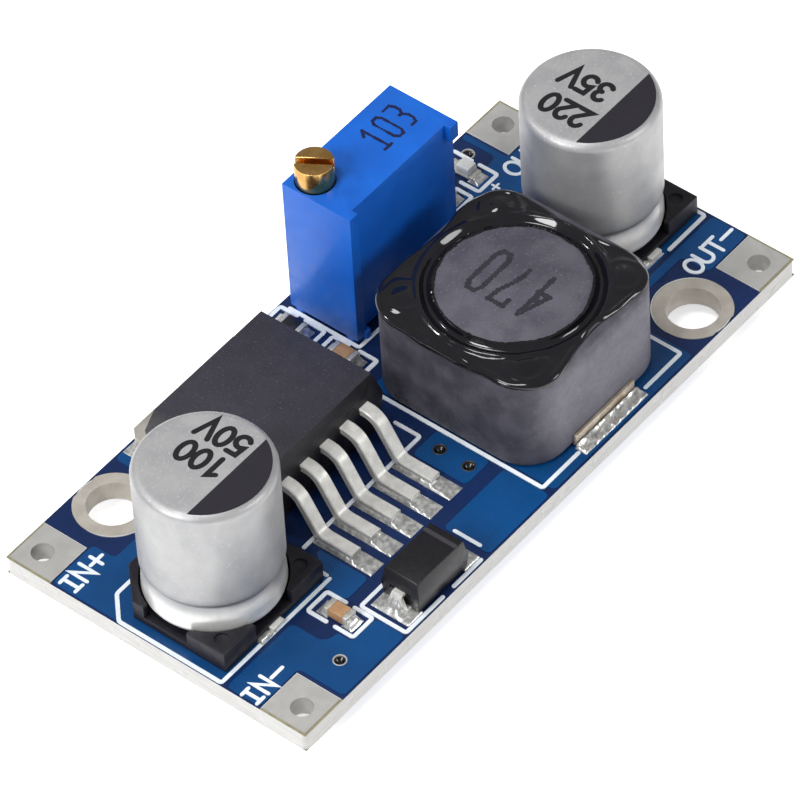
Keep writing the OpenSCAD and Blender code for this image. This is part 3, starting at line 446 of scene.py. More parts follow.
# one-part epoxy adhesive, cured: very glossy, nearly black, with soft waves
ADHESIVE = Finish(
    "Black epoxy adhesive, cured", "black_adhesive", "#131218", "#0e0d12",
    1.8, 1.6, 0.003, (0.07, 0.12),
)
# jet-printed ink on ferrite, soaked in: dark and matt
FERRITE_INK = Finish(
    "Black marking ink on ferrite, jet printed", "ferrite", "#24222a", "#2f2c35",
    0.3, 0.1, 0.004, (0.6, 0.7), ior=1.45,
)
# moulded polyphenylene sulphide base: black, satin
BASE_PLASTIC = Speckled(
    "Black PPS, injection moulded", "base_plastic", "#1b1922", "#16141c",
    1.4, 0.2, 0.012, (0.42, 0.56), ior=1.42, speck="#2b2933", speck_mm=0.22, speck_share=0.7,
)
# deep-drawn aluminium can under a thin clear lacquer: silver-grey and softly mottled, with painted
# shade above the waist
CAN_ALUMINIUM = DrawnCan(
    "Lacquered aluminium can, deep drawn", "can_aluminium", "#b4b4b4", "#a7a7a9",
    1.8, 0.3, 0.004, (0.4, 0.5), metallic=0.5, speck="#bababa", speck_mm=0.2, speck_share=0.68,
)
# the can's rolled foot: painted brighter than the wall as a highlight, with painted shade below
# the waist
CAN_FOOT_HIGHLIGHT = DrawnCan(
    "Aluminium can foot, rolled, painted highlight", "can_aluminium", "#e6e6e4", "#d8d8d6",
    0.9, 0.3, 0.003, (0.28, 0.38), metallic=0.5, speck="#d8d8d6",
    painted_shade_z=(3.15, 4.05), painted_waist_shade="#808187",
)
# the can's printed end: a little greyer, dusted with fine specks
CAN_TOP = Speckled(
    "Aluminium can end, lacquered", "can_aluminium", "#b8b8b9", "#a8a8aa",
    1.2, 0.24, 0.006, (0.44, 0.55), metallic=0.4, speck="#c0c0c1", speck_mm=0.13, speck_share=0.64,
)
# printed marking on the can: flat black ink
CAN_INK = Finish(
    "Black marking ink, pad printed", "can_aluminium", "#0d0c10", "#131217",
    0.7, 0.12, 0.002, (0.5, 0.6), ior=1.45,
)
# polarity band: thinner ink, charcoal
CAN_BAND_INK = Finish(
    "Charcoal polarity band, pad printed", "can_aluminium", "#232029", "#1f1d25",
    1.0, 0.12, 0.002, (0.5, 0.6), ior=1.45,
)
# glass-filled polyamide case: strong blue, smooth and softly glossy
BLUE_CASE = Finish(
    "Blue glass-filled polyamide, injection moulded", "blue_plastic", "#0f66d0", "#0b5cc2",
    3.0, 0.4, 0.005, (0.34, 0.46), ior=1.45,
)
# jet-printed dots, soaked into the case: navy
CASE_INK = Finish(
    "Dark blue marking ink, jet printed", "blue_plastic", "#0a1145", "#0a0f38",
    0.4, 0.1, 0.003, (0.5, 0.6), ior=1.45,
)
# free-cutting brass, turned and lightly polished
BRASS = Finish(
    "Free-cutting brass, turned", "screw_brass", "#d9ad6c", "#c09150",
    0.9, 0.06, 0.0012, (0.16, 0.26), metallic=1.0, stretch=(1.0, 1.0, 4.0),
)
# moulded nitrile rubber: black, satin
SEAL_RUBBER = Finish(
    "Nitrile rubber ring, moulded", "seal_rubber", "#1b1b1e", "#151518",
    0.3, 0.06, 0.002, (0.5, 0.6), ior=1.52,
)
# undyed nylon: milky white
CARRIAGE_PLASTIC = Finish(
    "Natural nylon carriage, moulded", "carriage_plastic", "#eeeadd", "#e2dccb",
    0.8, 0.12, 0.003, (0.4, 0.5), ior=1.53,
)
# fired alumina: chalky white
ALUMINA = Finish(
    "Alumina plate with a screened resistance film", "alumina", "#ece8e0", "#dedad0",
    0.9, 0.08, 0.003, (0.55, 0.7), ior=1.76,
)
# fired chip body: tan, satin
BROWN_CERAMIC = Finish(
    "Barium titanate chip, fired", "brown_ceramic", "#bd936a", "#a87f58",
    0.5, 0.1, 0.005, (0.35, 0.5), ior=1.6,
)
# dipped and plated chip ends: bright tin with dull patches
CHIP_TIN = Finish(
    "Tin-plated chip ends", "chip_end_tin", "#d9d7d0", "#b9b7af",
    0.25, 0.12, 0.01, (0.28, 0.42), metallic=0.5,
)
# fired overglaze on a resistor: glossy black
CHIP_GLASS = Finish(
    "Black overglaze on alumina chip", "chip_black", "#1d1c22", "#17161c",
    0.4, 0.1, 0.003, (0.3, 0.42),
)
# lamp's carrier: white laminate
LAMP_BOARD = Finish(
    "White glass-epoxy lamp carrier", "lamp_carrier", "#eceadf", "#e0ddcf",
    0.3, 0.06, 0.003, (0.5, 0.6),
)
# lamp's lens: clear resin, faintly yellow
LAMP_RESIN = ClearResin(
    "Clear casting resin, moulded", "lamp_resin", "#fbfbf8", "#f3f2ec",
    0.3, 0.08, 0.002, (0.15, 0.25),
)


@lru_cache(maxsize=None)
def material_of(finish: Finish) -> bpy.types.Material:
    """Gives the one material that belongs to a finish."""
    return finish.build()


# ---- meshes ----


def draft_mesh(
    name: str, points: Iterable[Sequence[float]], faces: Iterable[Sequence[int]]
) -> bpy.types.Mesh:
    """Makes a mesh from points in millimetres, with all its faces turned outwards."""
    mesh = bpy.data.meshes.new(name)
    mesh.from_pydata([tuple(c * MM for c in p) for p in points], [], [tuple(f) for f in faces])
    tidy = bmesh.new()
    tidy.from_mesh(mesh)
    bmesh.ops.recalc_face_normals(tidy, faces=tidy.faces)
    tidy.to_mesh(mesh)
    tidy.free()
    return mesh


def add_piece(
    name: str,
    points: Iterable[Sequence[float]],
    faces: Iterable[Sequence[int]],
    finish: Finish,
    body: str = MODULE,
) -> bpy.types.Object:
    """Makes a piece from points in millimetres, dresses it and lets it ride on a body.

    Args:
        name: Name of the piece.
        points: Corners in the row frame, in millimetres.
        faces: Corner numbers of each face.
        finish: What the piece is made of.
        body: The CAD body that it moves with.

    Returns:
        The new object.
    """
    return adopt(bpy.data.objects.new(name, draft_mesh(name, points, faces)), finish, body)


def adopt(obj: bpy.types.Object, finish: Finish, body: str = MODULE) -> bpy.types.Object:
    """Links a new object, smooths it, and gives it its finish and its body."""
    bpy.context.scene.collection.objects.link(obj)
    obj.data.materials.clear()
    obj.data.materials.append(material_of(finish))
    obj.data.polygons.foreach_set("use_smooth", [True] * len(obj.data.polygons))
    obj.data.set_sharp_from_angle(angle=math.radians(SHARP_DEG))
    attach(obj, body)
    return obj


def dress_node(node: str, finish: Finish) -> None:
    """Gives a carried-over CAD node its finish, and leaves its mesh as it is."""
    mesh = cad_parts[node].data
    mesh.materials.clear()
    mesh.materials.append(material_of(finish))


def soften(
    node: str,
    name: str,
    finish: Finish,
    radius: float,
    segments: int = 2,
    body: str = MODULE,
    angle: float = 25.0,
) -> bpy.types.Object:
    """Replaces a CAD node by a copy whose sharp edges are rounded.

    Args:
        node: The CAD node.
        name: Name of the new piece.
        finish: What it is made of.
        radius: Width of the rounding in millimetres.
        segments: Steps in the rounding.
        body: The CAD body that it moves with.
        angle: Edges that turn by more than this many degrees are rounded.

    Returns:
        The new object.
    """
    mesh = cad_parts[node].data.copy()
    shape = bmesh.new()
    shape.from_mesh(mesh)
    bmesh.ops.remove_doubles(shape, verts=shape.verts, dist=1e-7)
    bmesh.ops.dissolve_limit(
        shape, angle_limit=math.radians(0.5), verts=shape.verts, edges=shape.edges
    )
    edges = [
        e for e in shape.edges
        if len(e.link_faces) == 2 and e.calc_face_angle() > math.radians(angle)
    ]
    bmesh.ops.bevel(
        shape, geom=edges, offset=radius * MM, segments=segments, profile=0.5,
        affect="EDGES", clamp_overlap=True,
    )
    shape.to_mesh(mesh)
    shape.free()
    obj = adopt(bpy.data.objects.new(name, mesh), finish, body)
    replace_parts(obj, node)
    return obj


@dataclass(frozen=True)
class Extent:
    """A CAD node's box at rest, in millimetres."""

    low: Vector
    high: Vector

    @classmethod
    def of(cls, node: str) -> "Extent":
        """Measures a node."""
        low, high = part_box(node)
        return cls(low / MM, high / MM)

    @property
    def middle(self) -> Vector:
        """Middle of the box."""
        return (self.low + self.high) / 2

    @property
    def size(self) -> Vector:
        """Lengths of the box's sides."""
        return self.high - self.low


def measured(node: str) -> Extent:
    """Makes a dataclass field that holds a CAD node's box."""
    return field(default_factory=lambda: Extent.of(node))


def loose_parts(node: str) -> list[Extent]:
    """Measures each loose part of a CAD node, in the order of their places along X."""
    shape = bmesh.new()
    shape.from_mesh(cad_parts[node].data)
    bmesh.ops.remove_doubles(shape, verts=shape.verts, dist=1e-7)
    left = set(shape.verts)
    out = []
    while left:
        found = [left.pop()]
        for vert in found:
            for edge in vert.link_edges:
                other = edge.other_vert(vert)
                if other in left:
                    left.remove(other)
                    found.append(other)
        places = [v.co for v in found]
        low, high = (Vector([f(p[i] for p in places) for i in range(3)]) / MM for f in (min, max))
        out.append(Extent(low, high))
    shape.free()
    return sorted(out, key=lambda e: (round(e.middle.x, 2), e.middle.y))


@dataclass
class MeshDraft:
    """Points and faces of a piece that is put together from several closed shells."""

    points: list[Point3] = field(default_factory=list)
    faces: list[tuple[int, ...]] = field(default_factory=list)
    laid: int = 0

    def hair(self) -> float:
        """A hair's height that differs from shell to shell, so that no two faces coincide."""
        return 0.0009 * (self.laid % 7)

    def shell(self, points: Sequence[Point3], faces: Iterable[Sequence[int]]) -> None:
        """Adds one closed shell."""
        start = len(self.points)
        self.laid += 1
        self.points.extend(points)
        self.faces.extend(tuple(start + i for i in f) for f in faces)

    def prism(self, outline: Sequence[Point], low: float, high: float) -> None:
        """Adds an upright prism on an outline."""
        n = len(outline)
        top = high + self.hair()
        points = [(x, y, low) for x, y in outline] + [(x, y, top) for x, y in outline]
        sides = [(i, (i + 1) % n, n + (i + 1) % n, n + i) for i in range(n)]
        self.shell(points, [tuple(range(n - 1, -1, -1)), tuple(range(n, 2 * n)), *sides])

    def stroke(
        self, path: Sequence[Point], width: float, low: float, high: float, closed: bool = False
    ) -> None:
        """Adds a printed line of even width along a path, with mitred corners and round ends.

        Args:
            path: Points of the line's middle.
            width: Width of the line.
            low: Height of its underside.
            high: Height of its upper face.
            closed: Whether the last point joins the first.
        """
        n = len(path)
        left, right = [], []
        for i in range(n):
            here = Vector(path[i])
            before = Vector(path[i - 1]) if closed or i > 0 else None
            after = Vector(path[(i + 1) % n]) if closed or i < n - 1 else None
            ways = [(here - before).normalized()] if before is not None else []
            ways += [(after - here).normalized()] if after is not None else []
            along = sum(ways, Vector((0.0, 0.0))).normalized()
            across = Vector((-along.y, along.x))
            reach = width / 2 / max(0.35, across.dot(Vector((-ways[0].y, ways[0].x))))
            left.append(here + across * reach)
            right.append(here - across * reach)
        if not closed:
            ends = [
                round_end(Vector(path[-1]), left[-1], right[-1]),
                round_end(Vector(path[0]), right[0], left[0]),
            ]
            outline = [*left, *ends[0], *reversed(right), *ends[1]]
            self.prism([(p.x, p.y) for p in outline], low, high)
            return
        points = [(p.x, p.y, z) for z in (low, high + self.hair()) for p in (*left, *right)]
        m = 2 * n
        faces: list[tuple[int, ...]] = []
        for i in range(n):
            j = (i + 1) % n
            faces += [(m + i, m + n + i, m + n + j, m + j), (i, j, n + j, n + i)]
            faces += [(i, m + i, m + j, j), (n + i, n + j, m + n + j, m + n + i)]
        self.shell(points, faces)

    def dots(
        self, path: Sequence[Point], pitch: float, size: float, low: float, high: float
    ) -> None:
        """Adds the separate dots that a jet printer leaves along a path."""
        for start, end in zip(path, path[1:]):
            a, b = Vector(start), Vector(end)
            count = max(1, round((b - a).length / pitch))
            for k in range(count):
                at = a.lerp(b, k / count)
                swell = size * (0.85 + 0.3 * noise.noise((at.x * 3, at.y * 3, 1.0)))
                turn = noise.noise((at.x * 5, at.y * 5, 4.0)) * math.pi
                rim = [
                    (at.x + swell / 2 * math.cos(turn + q * math.tau / 7),
                     at.y + swell / 2 * math.sin(turn + q * math.tau / 7))
                    for q in range(7)
                ]
                self.prism(rim, low, high)

    def pen_print(self, mark: "Print", width: float, low: float, high: float) -> None:
        """Prints a line of characters in even strokes."""
        for path, closed in mark.strokes(GLYPHS):
            self.stroke(path, width, low, high, closed)

    def jet_print(
        self, mark: "Print", pitch: float, size: float, low: float, high: float
    ) -> None:
        """Prints a line of characters in separate dots."""
        for path, closed in mark.strokes(DOT_GLYPHS):
            self.dots([*path, path[0]] if closed else path, pitch, size, low, high)

    def ribbon(
        self, x: float, path: Sequence[Point], width: float, thick: float, bevel: float
    ) -> None:
        """Adds a flat lead that is bent in a plane across X.

        Args:
            x: Place of the lead's middle.
            path: Places along Y and Z of the middle of its thickness.
            width: Width of the lead.
            thick: Thickness of the lead.
            bevel: Width of the bevel along its long edges.
        """
        a, b, c = width / 2, thick / 2, bevel
        section = [
            (-a, -b + c), (-a, b - c), (-a + c, b), (a - c, b),
            (a, b - c), (a, -b + c), (a - c, -b), (-a + c, -b),
        ]
        points: list[Point3] = []
        n = len(path)
        for i in range(n):
            start, end = Vector(path[max(0, i - 1)]), Vector(path[min(n - 1, i + 1)])
            along = (end - start).normalized()
            out = Vector((along.y, -along.x))
            out = out if out.y > 0 or abs(out.y) < 1e-6 and out.x > 0 else -out
            points += [(x + u, path[i][0] + out.x * v, path[i][1] + out.y * v) for u, v in section]
        m = len(section)
        faces: list[tuple[int, ...]] = [tuple(range(m)), tuple(range((n - 1) * m, n * m))]
        faces += [
            (i * m + k, i * m + (k + 1) % m, (i + 1) * m + (k + 1) % m, (i + 1) * m + k)
            for i in range(n - 1) for k in range(m)
        ]
        self.shell(points, faces)

    def lathe(self, centre: Point, profile: Sequence[Point], steps: int) -> None:
        """Adds a turned form.

        Args:
            centre: Place of the axis, which stands along Z.
            profile: Radius and height of each point, from the axis to the axis.
            steps: Steps around the axis.
        """
        cx, cy = centre
        points: list[Point3] = []
        rows: list[list[int]] = []
        for radius, height in profile:
            if radius < 1e-6:
                rows.append([len(points)] * steps)
                points.append((cx, cy, height))
                continue
            rows.append(list(range(len(points), len(points) + steps)))
            points += [
                (cx + radius * math.cos(math.tau * k / steps),
                 cy + radius * math.sin(math.tau * k / steps), height)
                for k in range(steps)
            ]
        faces = []
        for low, high in zip(rows, rows[1:]):
            for k in range(steps):
                j = (k + 1) % steps
                corners = (low[k], low[j], high[j], high[k])
                kept = tuple(dict.fromkeys(corners))
                if len(kept) > 2:
                    faces.append(kept)
        self.shell(points, faces)

    def field(
        self,
        low: Point,
        high: Point,
        base: float,
        height: Callable[[float, float], float],
        pitch: float = 0.07,
    ) -> None:
        """Adds a block on a rectangle whose upper face follows a height at each place.

        Args:
            low: Lower corner of the rectangle.
            high: Upper corner of the rectangle.
            base: Height of the flat underside.
            height: Height of the upper face at x and y.
            pitch: Distance between two points of the upper face.
        """
        nx = max(2, round((high[0] - low[0]) / pitch))
        ny = max(2, round((high[1] - low[1]) / pitch))
        xs = [low[0] + (high[0] - low[0]) * i / nx for i in range(nx + 1)]
        ys = [low[1] + (high[1] - low[1]) * j / ny for j in range(ny + 1)]
        points = [(x, y, max(base + 0.001, height(x, y))) for y in ys for x in xs]
        w = nx + 1
        faces = [
            (j * w + i, j * w + i + 1, (j + 1) * w + i + 1, (j + 1) * w + i)
            for j in range(ny) for i in range(nx)
        ]
        rim = (
            [i for i in range(w)] + [j * w + nx for j in range(1, ny + 1)]
            + [ny * w + i for i in range(nx - 1, -1, -1)] + [j * w for j in range(ny - 1, 0, -1)]
        )
        first = len(points)
        points += [(points[i][0], points[i][1], base) for i in rim]
        n = len(rim)
        faces += [
            (rim[k], first + k, first + (k + 1) % n, rim[(k + 1) % n]) for k in range(n)
        ]
        faces.append(tuple(first + k for k in range(n - 1, -1, -1)))
        self.shell(points, faces)

    def piece(
        self,
        name: str,
        finish: Finish,
        body: str = MODULE,
        holes: Sequence[tuple[Point, float]] = (),
    ) -> bpy.types.Object:
        """Turns the draft into a dressed piece, drilled through at each place and radius."""
        if not holes:
            return add_piece(name, self.points, self.faces, finish, body)
        heights = [p[2] for p in self.points]
        tool = MeshDraft()
        for (x, y), radius in holes:
            rim = [(x + u, y + v) for u, v in arc((0, 0), radius, radius, 0, 352.5, 47)]
            tool.prism(rim, min(heights) - 0.1, max(heights) + 0.1)
        work = [
            bpy.data.objects.new(f"{name}_{k}", draft_mesh(f"{name}_{k}", d.points, d.faces))
            for k, d in enumerate((self, tool))
        ]
        for obj in work:
            bpy.context.scene.collection.objects.link(obj)
        cut = work[0].modifiers.new("drilled", "BOOLEAN")
        cut.object, cut.operation, cut.solver = work[1], "DIFFERENCE", "EXACT"
        seen = work[0].evaluated_get(bpy.context.evaluated_depsgraph_get())
        mesh = bpy.data.meshes.new_from_object(seen)
        for obj in work:
            bpy.data.objects.remove(obj)
        return adopt(bpy.data.objects.new(name, mesh), finish, body)


def round_end(middle: Vector, start: Vector, end: Vector, steps: int = 4) -> list[Vector]:
    """Gives the points of a half circle that closes a stroke, turning clockwise."""
    arm = start - middle
    return [
        middle + Matrix.Rotation(-math.pi * k / steps, 2) @ arm for k in range(1, steps)
    ]


def corner(before: Vector, here: Vector, after: Vector, cut: float, steps: int) -> list[Point]:
    """Rounds one corner of a path.

    Args:
        before: The point before the corner.
        here: The corner.
        after: The point after the corner.
        cut: Distance from the corner at which its rounding starts and ends.
        steps: Steps in the rounding.

    Returns:
        The points of the rounding.
    """
    start = here + (before - here).normalized() * cut
    end = here + (after - here).normalized() * cut
    out: list[Point] = []
    for k in range(steps + 1):
        t = k / steps
        at = start.lerp(here, t).lerp(here.lerp(end, t), t)
        out.append((at.x, at.y))
    return out


def rounded(outline: Sequence[Point], radius: float, steps: int = 5) -> list[Point]:
    """Rounds the corners of an outline.

    Args:
        outline: Corners, in order.
        radius: Distance from each corner at which its rounding starts.
        steps: Steps in one corner.

    Returns:
        The points of the rounded outline.
    """
    out: list[Point] = []
    n = len(outline)
    for i in range(n):
        here = Vector(outline[i])
        before, after = Vector(outline[i - 1]), Vector(outline[(i + 1) % n])
        cut = min(radius, (before - here).length / 2.1, (after - here).length / 2.1)
        out += corner(before, here, after, cut, steps)
    return out


def eased(path: Sequence[Point], radius: float) -> list[Point]:
    """Rounds the inner corners of an open path and keeps its two ends."""
    if len(path) < 3:
        return list(path)
    corners = len(path) - 2
    steps = 3
    turned = rounded(path, radius, steps)
    kept = turned[steps + 1 : (steps + 1) * (corners + 1)]
    return [path[0], *kept, path[-1]]


def arc(
    centre: Point, rx: float, ry: float, start: float, end: float, steps: int
) -> list[Point]:
    """Points of an elliptical arc between two angles in degrees."""
    return [
        (centre[0] + rx * math.cos(math.radians(start + (end - start) * k / steps)),
         centre[1] + ry * math.sin(math.radians(start + (end - start) * k / steps)))
        for k in range(steps + 1)
    ]


# Strokes of each character in a cell 1 high; True closes a stroke
GLYPHS: dict[str, Strokes] = {
    "0": [(arc((0.3, 0.5), 0.24, 0.44, 0, 345, 23), True)],
    "1": [([(0.1, 0.76), (0.36, 0.94), (0.36, 0.06)], False)],
    "2": [(arc((0.3, 0.68), 0.22, 0.26, 165, -30, 9) + [(0.06, 0.06), (0.56, 0.06)], False)],
    "3": [
        (arc((0.28, 0.71), 0.21, 0.23, 150, -80, 10), False),
        (arc((0.28, 0.28), 0.24, 0.23, 80, -150, 10), False),
    ],
    "5": [
        ([(0.54, 0.94), (0.14, 0.94), (0.1, 0.53)] + arc((0.28, 0.33), 0.25, 0.27, 100, -150, 12),
         False),
    ],
    "I": [
        ([(0.3, 0.14), (0.3, 0.86)], False),
        ([(0.08, 0.94), (0.52, 0.94)], False),
        ([(0.08, 0.06), (0.52, 0.06)], False),
    ],
    "N": [([(0.06, 0.02), (0.06, 0.96), (0.6, 0.04), (0.6, 0.98)], False)],
    "O": [(arc((0.36, 0.5), 0.32, 0.45, 0, 345, 23), True)],
    "U": [([(0.06, 0.96)] + arc((0.33, 0.34), 0.27, 0.29, 180, 360, 12) + [(0.6, 0.96)], False)],
    "T": [([(0.02, 0.92), (0.7, 0.92)], False), ([(0.36, 0.84), (0.36, 0.02)], False)],
    "V": [([(0.03, 0.96), (0.32, 0.06), (0.61, 0.96)], False)],
    "+": [
        ([(0.05, 0.5), (0.32, 0.5)], False),
        ([(0.48, 0.5), (0.75, 0.5)], False),
        ([(0.4, 0.15), (0.4, 0.85)], False),
    ],
    "-": [([(0.05, 0.5), (0.78, 0.5)], False)],
}


# The squarer figures of a jet printer
DOT_GLYPHS: dict[str, Strokes] = {
    "0": [([(0.2, 0.94), (0.44, 0.94), (0.56, 0.82), (0.56, 0.18), (0.44, 0.06), (0.2, 0.06),
            (0.08, 0.18), (0.08, 0.82)], True)],
    "1": [([(0.1, 0.76), (0.34, 0.94), (0.34, 0.06)], False),
          ([(0.08, 0.06), (0.62, 0.06)], False)],
    "3": [([(0.08, 0.94), (0.46, 0.94), (0.56, 0.8), (0.56, 0.64), (0.44, 0.52), (0.2, 0.52)],
           False),
          ([(0.44, 0.5), (0.56, 0.36), (0.56, 0.2), (0.44, 0.06), (0.08, 0.06)], False)],
    "4": [([(0.46, 0.06), (0.46, 0.94), (0.1, 0.4), (0.64, 0.4)], False),
          ([(0.4, 0.5), (0.3, 0.62)], False)],
    "7": [([(0.06, 0.8), (0.06, 0.94), (0.6, 0.94), (0.56, 0.72), (0.4, 0.5), (0.3, 0.28),
            (0.3, 0.06)], False)],
}


class Reading(Enum):
    """Which way a line of print reads and which way its characters stand up."""

    ALONG_X = ((1.0, 0.0), (0.0, 1.0))
    ALONG_Y = ((0.0, 1.0), (-1.0, 0.0))


@dataclass(frozen=True)
class Print:
    """One line of printed characters.

    Attributes:
        text: The characters.
        start: Lower left corner of the first character, as it is read.
        height: Height of a character.
        advances: Distance from each character to the next, or one for all.
        reading: The way the line reads.
        stretch: Width of a character for its height.
    """

    text: str
    start: Point
    height: float
    advances: tuple[float, ...]
    reading: Reading = Reading.ALONG_X
    stretch: float = 1.0

    def strokes(self, glyphs: dict[str, Strokes]) -> Strokes:
        """Gives the paths of all strokes in the row frame, in millimetres."""
        (ax, ay), (ux, uy) = self.reading.value
        out = []
        along = 0.0
        for k, letter in enumerate(self.text):
            for path, closed in glyphs[letter]:
                placed = []
                for x, y in path:
                    a, u = along + x * self.height * self.stretch, y * self.height
                    x0, y0 = self.start
                    placed.append((x0 + ax * a + ux * u, y0 + ay * a + uy * u))
                out.append((placed, closed))
            along += self.advances[min(k, len(self.advances) - 1)]
        return out


# ---- sub-assemblies ----


def wave(x: float, y: float, seed: float, size: float) -> float:
    """A smooth, repeatable unevenness between about -1 and 1."""
    return noise.noise((x / size, y / size, seed))


def hump(x: float, middle: float, width: float) -> float:
    """A round hump of height 1 about its middle."""
    return math.exp(-(((x - middle) / width) ** 2))


def smooth(t: float) -> float:
    """A smooth step from 0 to 1, clamped."""
    t = min(1.0, max(0.0, t))
    return t * t * (3 - 2 * t)


@dataclass
class CircuitBoard:
    """The board with its mask, foil, legend, pads, rings and vias.

    Attributes:
        foil_step: How far mask over foil stands above the laminate's mask.
        ink_step: Thickness of the legend ink.
        rim: Width of the bare laminate around the mask.
        line: Width of a legend line.
    """

    foil_step: float = 0.03
    ink_step: float = 0.03
    rim: float = 0.16
    line: float = 0.24
    extent: Extent = measured("circuit_board")

    @property
    def top(self) -> float:
        """Height of the laminate's upper face."""
        return self.extent.high.z

    def build(self) -> None:
        """Dresses the board and builds what lies on it."""
        dress_node("circuit_board", LAMINATE)
        dress_node("wire_pads", LEVELLED_TIN)
        dress_node("screw_hole_rings", RING_TIN)
        self.bare_rim()
        self.pad_rim_highlights()
        self.vias()
        self.foil()
        self.legend()

    def wire_corners(self) -> list[tuple[list[float], list[float]]]:
        """Gives the X and the Y of each wire pad's sides, the inner side first."""
        return [
            (sorted((pad.low.x, pad.high.x), key=abs), sorted((pad.low.y, pad.high.y), key=abs))
            for pad in loose_parts("wire_pads")
        ]

    def pad_rim_highlights(self) -> None:
        """Draws the bead of tin along the mask's edge at the pads and rings, painted bright as a
        highlight.
        """
        low, high = self.top, self.top + 0.045
        bead = 0.07
        draft = MeshDraft()
        for (x_in, x_out), (y_in, y_out) in self.wire_corners():
            draft.stroke([(x_out, y_in), (x_in, y_in), (x_in, y_out)], bead, low, high)
        for ring in loose_parts("screw_hole_rings"):
            r = ring.size.x / 2 - bead / 2
            rim = arc((ring.middle.x, ring.middle.y), r, r, 0, 354, 59)
            draft.stroke(rim, bead, low, high, closed=True)
        draft.piece("pad_bead_highlights", PAD_RIM_HIGHLIGHT)

    def vias(self) -> None:
        """Builds the vias: two with a bare tin rim, two under the mask, all plugged."""
        bare, masked, plugs = MeshDraft(), MeshDraft(), MeshDraft()
        parts = loose_parts("via_rings")
        for k, via in enumerate(parts):
            at = (via.middle.x, via.middle.y)
            outer, inner = via.size.x / 2, via.size.x / 2 - 0.11
            z = self.top + 0.05
            profile = [(inner, z - 0.3), (outer, z - 0.06), (outer - 0.03, z - 0.01),
                       ((inner + outer) / 2, z), (inner + 0.01, z - 0.015), (inner, z - 0.3)]
            (bare if k in (0, len(parts) - 1) else masked).lathe(at, profile, 48)
            well = [(0.0, z - 0.3), (0.16, z - 0.27), (inner - 0.02, z - 0.12),
                    (inner + 0.02, z - 0.1), (inner + 0.02, 0.1), (0.0, 0.1)]
            plugs.lathe(at, well, 48)
        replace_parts(bare.piece("via_bare_rims", LEVELLED_TIN), "via_rings")
        masked.piece("via_masked_rims", MASKED_RIM)
        # the plugs are painted nearly black as the shade deep in each via
        plugs.piece("via_plugs_shaded", VIA_PLUG_SHADE)

    def holes(self) -> list[tuple[Point, float]]:
        """Places and radii of all that the foil leaves open."""
        return [
            ((part.middle.x, part.middle.y), part.size.x / 2 + gap)
            for node, gap in (("via_rings", -0.02), ("screw_hole_rings", 0.12))
            for part in loose_parts(node)
        ]

    def bare_rim(self) -> None:
        """Lays the thin tan strip of bare laminate outside the wire pads, on both faces."""
        draft = MeshDraft()
        inset = self.rim / 2
        for (x_in, x_out), (y_in, y_out) in self.wire_corners():
            edge_x = math.copysign(self.extent.size.x / 2 - inset, x_out)
            edge_y = math.copysign(self.extent.size.y / 2 - inset, y_out)
            path = [(edge_x, y_in), (edge_x, edge_y), (x_in, edge_y)]
            draft.stroke(path, self.rim, self.top, self.top + 0.012)
            draft.stroke(path, self.rim, -0.012, -0.001)
        draft.piece("board_bare_rim", BARE_EDGE)

    def foil(self) -> None:
        """Raises the mask where foil lies under it, on both faces."""
        e = 0.14
        x0, x1 = self.extent.low.x + e, self.extent.high.x - e
        y0, y1 = self.extent.low.y + e, self.extent.high.y - e
        pad, pad_y = 18.3, 7.25
        areas = [
            # input pour, beside the plus wire pad and around the input capacitor
            [(x0, -4.75), (-13.1, -4.75), (-12.3, -3.6), (-12.3, 3.2), (-13.2, 4.6), (-13.2, 5.7),
             (-18.1, 5.7), (-18.1, pad_y), (x0, pad_y)],
            # ground pour of the minus input, along the lower side to the diode
            [(-pad + 0.1, y0), (-13.0, y0), (-13.0, -8.35), (-15.0, -8.35), (-15.0, -7.3),
             (-15.5, -7.3), (-15.95, -6.9), (-15.95, -4.95), (x0, -4.95), (x0, -pad_y),
             (-pad + 0.1, -pad_y)],
            # foil between the input capacitor and the first lead
            [(-12.95, -4.65), (-11.25, -2.85), (-11.0, -2.85), (-11.0, -6.25), (-12.95, -6.25)],
            # foil at the last lead and under the middle vias
            [(-2.6, -2.5), (-0.45, -2.5), (-0.45, -6.25), (-2.6, -6.25)],
            # foil from the diode to the inductor
            [(-5.75, y0), (-0.45, y0), (-0.45, -7.2), (-5.75, -7.2)],
            # switched foil under the inductor
            [(0.0, y0), (12.4, y0), (12.4, -6.0), (12.6, -5.0), (12.6, 2.4), (0.0, 2.4)],
            # output ground pour around the output screw hole
            [(12.65, y0 + 5.0), (17.95, y0 + 5.0), (17.95, -pad_y), (x1, -pad_y), (x1, -4.8),
             (12.75, -4.8)],
            # output pour beside the plus wire pad
            [(12.0, 4.6), (x1, 4.6), (x1, pad_y), (pad, pad_y), (pad, y1), (17.9, y1), (17.9, 7.9),
             (12.0, 7.0)],
            # foil under the output capacitor
            [(12.9, -4.5), (x1, -4.5), (x1, 4.35), (12.9, 4.35)],
            # foil beside the trimmer's row
            [(-12.6, y1), (-12.6, 6.0), (-11.9, 3.0), (-1.55, 3.0), (-1.55, y1)],
        ]
        draft = MeshDraft()
        for outline in areas:
            draft.prism(rounded(outline, 0.35), self.top, self.top + self.foil_step)
        draft.piece("mask_over_upper_foil", MASK_ON_COPPER, holes=self.holes())
        under = MeshDraft()
        for outline in (
            [(x0, -7.2), (-18.3, -7.2), (-18.3, y0), (12.2, y0), (12.2, 4.0), (x0, 4.0)],
            [(x0, 4.5), (-18.2, 4.5), (-18.2, 5.6), (1.4, 5.6), (1.4, 9.2), (x1 - 3.1, 9.2),
             (x1 - 3.1, 7.1), (x1, 7.1), (x1, -7.1), (x1 - 3.2, -7.1), (x1 - 3.2, -5.6),
             (12.7, -5.6), (12.7, 4.5)],
        ):
